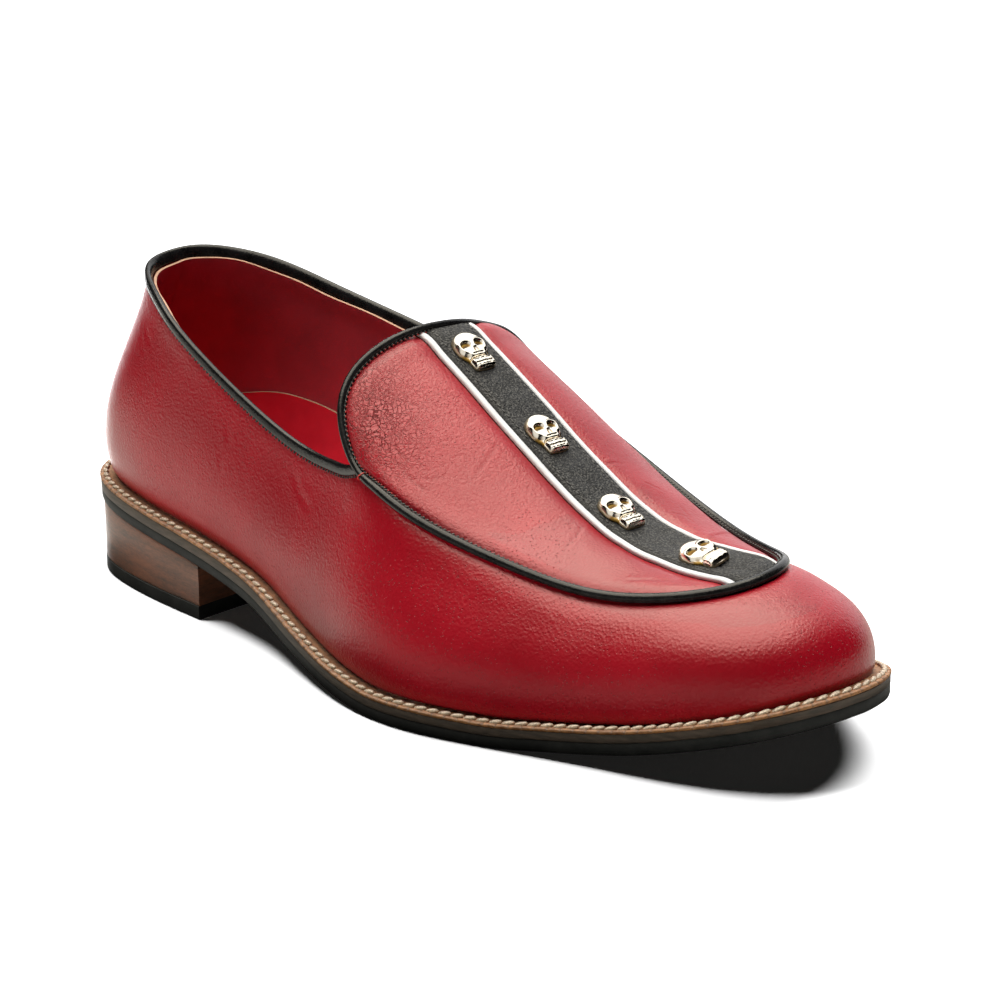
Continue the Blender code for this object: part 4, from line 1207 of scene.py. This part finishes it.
def layer(name, levels, finish, stands_for, count=230, across=25, breast=None, low=None,
          crisp=38):
    """A layer from its levels, bottom to top: (inset, height); low shapes its walking face."""
    grids = []
    for inset, height in levels:
        plan = rungs(inset, count, across, breast)
        z = height(plan[..., 0]) if callable(height) else np.full(plan.shape[:2], height)
        grids.append(np.concatenate([plan, z[..., None]], axis=-1))
    if low:
        grids[0][..., 2] += low(grids[0][..., 0], grids[0][..., 1])
    border = np.r_[np.arange(count) * across, (count - 1) * across + np.arange(1, across),
                   np.arange(count - 2, -1, -1) * across + across - 1,
                   np.arange(across - 2, 0, -1)]
    flat = [grid.reshape(-1, 3) for grid in grids]
    points = [flat[0]] + [grid[border] for grid in flat[1:-1]] + [flat[-1]]
    starts = np.cumsum([0] + [len(level) for level in points])
    rims = [border] + [start + np.arange(len(border)) for start in starts[1:-2]]
    rims.append(starts[-2] + border)
    faces = [grid_faces(count, across, flip=True)]
    faces += [np.stack([below, np.roll(below, -1), np.roll(above, -1), above], axis=-1)
              for below, above in zip(rims, rims[1:])]
    faces.append(grid_faces(count, across, start=starts[-2]))
    piece(name, (np.vstack(points), np.vstack(faces).tolist()), finish, stands_for, crisp=crisp,
          weld=0.003)


def midsole_top(x):
    return sole_top(x) - WELT_THICK


def outsole_top(x):
    thick = MIDSOLE_HEEL + (MIDSOLE_TOE - MIDSOLE_HEEL) * smooth(x, 60, 190)
    return midsole_top(x) - thick


def off(surface, lift):
    """The height of a surface, lifted."""
    return lambda x: surface(x) + lift


print("sole edge at the ball (mm):", round(float(sole_top(195.0) - underside(195.0)), 2))

# %% [markdown]
# ## The welt and its rope of stitches
# The welt is a strip of tan leather, seen as a narrow shelf round the whole shoe. Thick waxed
# thread lies on it in overlapping turns, like a rope, close to the upper. Each turn pulls at
# the strip, and a wheel has pressed its outer edge, so the edge is notched at the same pitch.

# %% Finishes of the welt
WELT = Finish("welt_leather", Roughness=0.62)
fibre = WELT.noise(420.0, 5.0, rough=0.65)
notch = WELT.mark("notch")
welt_tone = WELT.colours(fibre.step(0.32, 0.68), (0.205, 0.080, 0.026), (0.44, 0.205, 0.080))
welt_tone = WELT.colours(notch * 0.75, welt_tone, (0.055, 0.026, 0.012))
WELT.set(Base_Color=welt_tone, Normal=WELT.relief(fibre, 0.12))
CREAM = thread("cream_thread", "welt_leather", (0.78, 0.62, 0.44), 0.42)
print("welt ready")

# %% Build the welt
WELT_PITCH, BEAT_COLUMNS, BITE_IN, BITE_DOWN = 3.95, 10, 0.42, 0.30
WELT_SECTION = [         # inset, rise, and share of the notches' bite
    (0.15, -1.0, 0), (-0.05, -0.75, .5), (-0.12, -0.40, 1), (0.0, -0.12, 1), (0.30, 0.0, 1),
    (0.7, 0.03, .7), (1.1, -0.04, .25), (1.6, -0.20, 0), (2.4, -0.24, 0), (3.2, -0.34, 0),
    (4.2, -0.50, 0), (5.6, -0.45, 0), (6.6, -0.2, 0), (6.6, -1.0, 0)]
turns = np.linspace(0, 1, 4001)
run = run_along(outline(turns))
WELT_COLUMNS = int(round(run[-1] / WELT_PITCH)) * BEAT_COLUMNS
beats = np.arange(WELT_COLUMNS)
t_welt = np.interp(beats / WELT_COLUMNS * run[-1], run, turns)
dent = np.clip(np.cos(2 * math.pi * beats / BEAT_COLUMNS), 0, 1) ** 6
welt_top = sole_top(outline(t_welt)[:, 0])
welt_columns = []
for inset, rise, bite in WELT_SECTION:
    plan = outline(t_welt, inset) - outward(t_welt) * (BITE_IN * bite * dent)[:, None]
    z = welt_top + rise - BITE_DOWN * bite * dent * (rise > -0.5)
    welt_columns.append(np.column_stack([plan, z, bite * dent]))
welt_grid = np.stack(welt_columns, axis=1)
piece("welt_strip", tube(welt_grid[..., :3], closed=True), WELT, ("welt",),
      marks={"notch": welt_grid[..., 3].ravel()})
rope = np.column_stack([outline(t_welt, 1.75), welt_top + 0.15])
stitches("welt_stitches", rope, np.tile([0.0, 0.0, 1.0], (len(rope), 1)), WELT_PITCH,
         (3.9, 1.6, 1.35), CREAM, closed=True, skew=10, tip=7)

# %% [markdown]
# ## Midsole and outsole
# The midsole is leather, stained brown and burnished at its edge. The outsole is moulded
# rubber, a dull charcoal, with fine grooves across the forefoot for grip.

# %% Build the midsole and the outsole
MIDSOLE = Finish("midsole_leather", Roughness=0.58)
streak = MIDSOLE.noise(150.0, 5.0, MIDSOLE.stretched(1.0, 1.0, 7.0), rough=0.6)
MIDSOLE.two_tone(streak.step(0.3, 0.7), (0.034, 0.024, 0.017), (0.080, 0.055, 0.038), streak, 0.08)
RUBBER = Finish("black_rubber", Roughness=0.6, Specular_IOR_Level=0.2)
RUBBER.two_tone(RUBBER.noise(95.0, 5.0, rough=0.62).step(0.35, 0.72), (0.012, 0.0135, 0.014),
                (0.026, 0.027, 0.027), RUBBER.noise(1300.0, 3.0), 0.03)

layer("midsole_layer", [(0.35, outsole_top), (0.12, off(outsole_top, 0.25)),
                        (0.10, off(midsole_top, -0.3)), (0.3, midsole_top)],
      MIDSOLE, ("midsole",), across=9)

TREAD_FROM, TREAD_TO, TREAD_PITCH, TREAD_DEEP, TREAD_INSET = 152.0, 281.0, 5.0, 0.4, 7.0


def tread(x, y):
    """Relief of the walking face: fine grooves under the ball and the toe, clear of the edge."""
    near, far = edge_at(x[:, 0], TREAD_INSET)
    inside = smooth(x, TREAD_FROM, TREAD_FROM + 1) * (1 - smooth(x, TREAD_TO, TREAD_TO + 1))
    inside = inside * smooth(y - near[:, None], 0.0, 1.5) * smooth(far[:, None] - y, 0.0, 1.5)
    groove = smooth(np.cos(2 * math.pi * x / TREAD_PITCH), 0.1, 0.7)
    return TREAD_DEEP * groove * inside


layer("outsole_layer", [(1.0, underside), (0.45, off(underside, 0.3)), (0.22, off(underside, 1.0)),
                        (0.20, off(outsole_top, -0.5)), (0.42, outsole_top)],
      RUBBER, ("outsole",), count=460, low=tread)

# %% [markdown]
# ## The heel
# The heel block is built from stacked layers of leather, sanded flush, stained reddish brown
# and waxed. The stack shows as thin lines, and the stain lies in cloudy streaks along them.

# %% Build the heel
HEEL = Finish("heel_leather", Roughness=0.42)
long_grain = HEEL.stretched(1.0, 1.0, 8.0)
cloud = HEEL.noise(42.0, 5.0, long_grain, rough=0.65)
fleck = HEEL.noise(520.0, 4.0, HEEL.stretched(1.0, 1.0, 4.0), rough=0.7)
heel_tone = HEEL.node("ShaderNodeValToRGB",
                      {"stops": ((0.32, (0.030, 0.016, 0.011)), (0.68, (0.270, 0.084, 0.034)))},
                      {"Fac": cloud * 0.62 + fleck * 0.38}, output="Color")
HEEL.set(Base_Color=heel_tone, Normal=HEEL.relief(fleck * 0.6 + cloud * 0.4, 0.07))

layer("heel_stack", [(0.9, LIFT_THICK), (0.65, LIFT_THICK + 0.3),
                     (0.75, lambda x: LIFT_THICK + 0.5 * (underside(x) - LIFT_THICK)),
                     (0.75, off(underside, -0.5)), (1.0, off(underside, 0.05))],
      HEEL, ("heel_block",), count=120, breast=HEEL_BREAST, crisp=30)
layer("heel_top_lift", [(0.9, 0.0), (0.55, 0.35), (0.55, LIFT_THICK - 0.3),
                        (0.8, LIFT_THICK - 0.02)],
      RUBBER, ("top_lift",), count=120, breast=HEEL_BREAST - 0.3, crisp=30)

# %% [markdown]
# ## The inside
# The lining is thin matt leather, dark red in the shade of the shoe. Its raw tan edge shows below
# the collar's roll. The sock is brighter red, lies on the insole, and has its own raw edge and a
# row of pinholes, drawn as black dots of painted shade.

# %% Build the lining
LINING = Finish("lining_leather", "red_leather", Roughness=0.62, Specular_IOR_Level=0.35)
LINING.two_tone(LINING.noise(70.0, 4.0).step(0.3, 0.7), (0.310, 0.0160, 0.0330),
                (0.390, 0.0210, 0.0400),
                LINING.cells(1200.0) * 0.6 + LINING.noise(500.0) * 0.6, 0.03)
RAW = Finish("raw_edge", Roughness=0.8)
RAW.set(Base_Color=RAW.colours(RAW.noise(600.0, 3.0), (0.20, 0.09, 0.045), (0.46, 0.26, 0.15)))

LINING_TOP, LINING_FRONT, LINING_THICK = 3.0, 0.4, 0.85
LINING_COLUMNS, LINING_ROWS = 300, 40
t_lining = np.arange(LINING_COLUMNS) / LINING_COLUMNS
wavy = 0.28 * np.sin(t_lining * 57.0) + 0.18 * np.sin(t_lining * 143.0 + 1.0)
lining_cut = LINING_FRONT + (LINING_TOP + wavy - LINING_FRONT) * collar_share(t_lining)
lining_base = wall(t_lining, wall_heights(t_lining, lining_cut, LINING_ROWS))
lining_in = -grid_normals(lining_base, closed=True)
from_low = run_along(lining_base, axis=1)
depth = 1.25 + 0.85 * hump(from_low[:, -1:] - from_low, 0.0, 4.0) * collar_share(t_lining)[:, None]
lining = piece("lining", skin(lining_base + lining_in * depth[..., None],
                              lining_base + lining_in * (depth + LINING_THICK)[..., None],
                              closed=True), LINING, crisp=45)
lining.data.materials.append(RAW.material)
for face in list(lining.data.polygons)[-LINING_COLUMNS:]:      # the band along its upper edge
    face.material_index = 1

apron_lining = apron_grid(120, 24)
under_apron = apron_normals(apron_lining)
piece("apron_lining", skin(apron_lining - under_apron * 1.2, apron_lining - under_apron * 2.0),
      LINING, crisp=50, weld=0.002)

# %% Build the heel's lining and the sock
SOCK = Finish("sock_leather", Roughness=0.6, Specular_IOR_Level=0.2)
SOCK.two_tone(SOCK.noise(80.0, 3.0).step(0.3, 0.7), (0.51, 0.009, 0.030), (0.61, 0.016, 0.040),
              SOCK.cells(1300.0) * 0.6 + SOCK.noise(400.0) * 0.6, 0.03)
CUP_TOP = table("x z", (0, 44.0), (26, 49.5), (45, 51.4), (64, 48.7), (90, 41.5), (118, 30.0))
CUP_COLUMNS, CUP_ROWS, CUP_DEPTH, RIB_STEPS = 240, 16, (2.0, 3.0), 60
PINS_BELOW, PIN_PITCH = 10.5, 3.2
t_cup = np.linspace(T_FAR_CORNER - 1.0 + 0.012, T_CORNER - 0.012, CUP_COLUMNS)
rib_steps = np.linspace(0, 1, RIB_STEPS)
cup_ribs = wall(t_cup, rib_steps)
cup_ends = column(CUP_TOP, "z", cup_ribs[:, RIB_STEPS // 2, 0]) + 0.2 * np.sin(t_cup * 150.0)
cup_heights = np.array([np.interp(np.linspace(rib[3, 2], end, CUP_ROWS), rib[:, 2], rib_steps)
                        for rib, end in zip(cup_ribs, cup_ends)])
cup = wall(t_cup, cup_heights)
cup_in = -grid_normals(cup)
heel_cup = piece("heel_lining", skin(*(cup + cup_in * deep for deep in CUP_DEPTH)), SOCK, crisp=45)
heel_cup.data.materials.append(RAW.material)
for face in heel_cup.data.polygons:
    if abs(face.normal.z) > 0.75 and face.area < 4e-6:      # the narrow faces along its edges
        face.material_index = 1
cup_edge, cup_edge_in = cup[:, -1], cup_in[:, -1]
# The pinholes are painted shade: black beads on the sock where the holes would be dark inside.
pin_line = cup_edge - unit(cup_edge - cup[:, -4]) * PINS_BELOW + cup_edge_in * CUP_DEPTH[1]
stitches("pin_holes", pin_line, cup_in[:, -3], PIN_PITCH, (0.6, 0.6, 0.25), BLACK_THREAD)
layer("sock", [(7.2, off(sole_top, -1.4)), (7.2, off(sole_top, 1.9)), (7.6, off(sole_top, 2.4))],
      SOCK, ("insole",), count=160, across=31)

# %% [markdown]
# ## The studio
# The shoe stands on a pale sweep under soft light. Light does three jobs here, and each has its
# own lamps, because then each can be set alone. A large soft disk overhead gives the leather
# its colour. Cards that are only seen mirrored draw the broad sheen on the apron and the toe and
# give the metal something bright to show. Two suns light the floor alone, and where the shoe
# stands in the way of both the floor stays dark, which makes the short soft shadow. The bright
# floor is stood for by patches just under it that shine up on the shoe's sides.

# %% Build the floor
FLOOR_HALF = 12.0
floor_mesh = bpy.data.meshes.new("floor")
corners = [(x * FLOOR_HALF, y * FLOOR_HALF, 0) for x, y in ((-1, -1), (1, -1), (1, 1), (-1, 1))]
floor_mesh.from_pydata(corners, [], [(0, 1, 2, 3)])
floor = place("floor", floor_mesh)
PAPER = Finish("floor_paper", Base_Color=(0.94, 0.94, 0.94), Roughness=1.0)
PAPER.set(Specular_IOR_Level=0.0, Emission_Color=(1.0, 0.97, 0.93, 1.0), Emission_Strength=0.010)
floor_mesh.materials.append(PAPER.material)
print("side of the floor (m):", 2 * FLOOR_HALF)
floor.visible_glossy = floor.visible_diffuse = False      # patches under it stand for its light

# %% Set the lamps
def group(name, members):
    """A collection of these objects, which a lamp can be told to light."""
    made = bpy.data.collections.new(name)
    for member in members:
        made.objects.link(member)
    return made


def pieces_named(*words):
    """The pieces whose names begin with one of these words."""
    return [part for known, part in made_pieces.items() if known.startswith(words)]


def lamp(name, kind, way, power, distance=1.6, lights=None, **settings):
    """A lamp of a Blender kind, in a direction from the shoe and facing it."""
    way = Vector(way).normalized()
    data = bpy.data.lights.new(name, kind)
    data.energy = power
    for setting, value in settings.items():
        setattr(data, setting, value)
    made = place(name, data)
    made.location = way * distance
    made.rotation_euler = way.to_track_quat("Z", "Y").to_euler()
    if lights:
        made.light_linking.receiver_collection = lights
    return made


WARM = (1.0, 0.93, 0.78)
PAPER_WHITE, PATCH_BELOW = (1.0, 0.97, 0.86), 0.002
whole_shoe = group("whole_shoe", made_pieces.values())
skulls = pieces_named("skull")
studs = group("studs", skulls)
leathers = group("leathers", [part for part in made_pieces.values() if part not in skulls])


def card(name, way, power, distance, lights=leathers, **settings):
    """A soft light that is only seen mirrored in the shoe."""
    made = lamp(name, "AREA", way, power, distance=distance, lights=lights, **settings)
    made.visible_diffuse = False
    made.light_linking.blocker_collection = whole_shoe
    return made


key = lamp("key_light", "AREA", (-0.20, 0.22, 0.955), 40.0, distance=1.3, lights=whole_shoe,
           shape="DISK", size=1.9)
inside = lamp("inside_fill", "AREA", (-0.12, 0.05, 1.0), 2.6, distance=0.6,
              size=0.5, lights=group("inside", pieces_named("lining", "apron_lining", "sock",
                                                            "heel_lining")))
ground = group("ground", [floor])
far_sun = lamp("floor_sun_far", "SUN", (-0.123, 0.696, 0.707), 4.9, lights=ground,
               angle=math.radians(26.0))
high_sun = lamp("floor_sun_high", "SUN", (-0.337, -0.123, 0.934), 3.7, lights=ground,
                angle=math.radians(22.0))
for matt in (key, inside, far_sun, high_sun):
    matt.visible_glossy = False
card("overhead_card", (-0.20, -0.06, 0.975), 78.0, 1.3, shape="DISK", size=1.9, color=WARM)
card("back_card", (-0.31, 0.852, 0.423), 11.0, 1.5, size=1.5)
card("heel_card", (-0.903, 0.421, -0.087), 1.5, 0.8, size=0.35)


def bounce(name, low, high, brightness, mirrored=True):
    """A bright patch of floor, which lights the shoe's sides and may be mirrored in them."""
    width, depth = high[0] - low[0], high[1] - low[1]
    made = card(name, (0.0, 0.0, 1.0), math.pi * width * depth * brightness, 0.0,
                shape="RECTANGLE", size=width, size_y=depth, color=PAPER_WHITE)
    made.location = ((low[0] + high[0]) / 2, (low[1] + high[1]) / 2, -PATCH_BELOW)
    made.rotation_euler = (math.pi, 0.0, 0.0)
    made.visible_camera, made.visible_diffuse, made.visible_glossy = False, True, mirrored


bounce("bounce_heel", (-0.62, -0.42), (-0.04, -0.045), 1.6)
bounce("bounce_front", (-0.04, -0.45), (0.42, -0.10), 0.75)
bounce("bounce_back", (-0.62, -0.045), (-0.17, 0.08), 1.6)
bounce("bounce_toe", (0.17, -0.10), (0.50, 0.25), 1.3)
bounce("bounce_medial", (-0.40, 0.08), (0.17, 0.45), 1.3)
bounce("low_front", (0.0, -0.45), (0.42, -0.10), 3.1, mirrored=False)
card("stud_top_card", (-0.20, 0.10, 0.975), 57.0, 1.3, lights=studs, shape="DISK", size=3.7)
card("stud_front_card", (0.5, -1.0, 0.3), 12.0, 1.6, lights=studs, size=2.2)
world = bpy.data.worlds.new("studio")
bpy.context.scene.world = world
world.use_nodes = True
backdrop = world.node_tree.nodes["Background"].inputs
backdrop["Color"].default_value, backdrop["Strength"].default_value = (1.0, 1.0, 1.0, 1.0), 1.0
world.cycles_visibility.diffuse = world.cycles_visibility.glossy = False
bpy.context.scene.view_settings.view_transform = "Standard"
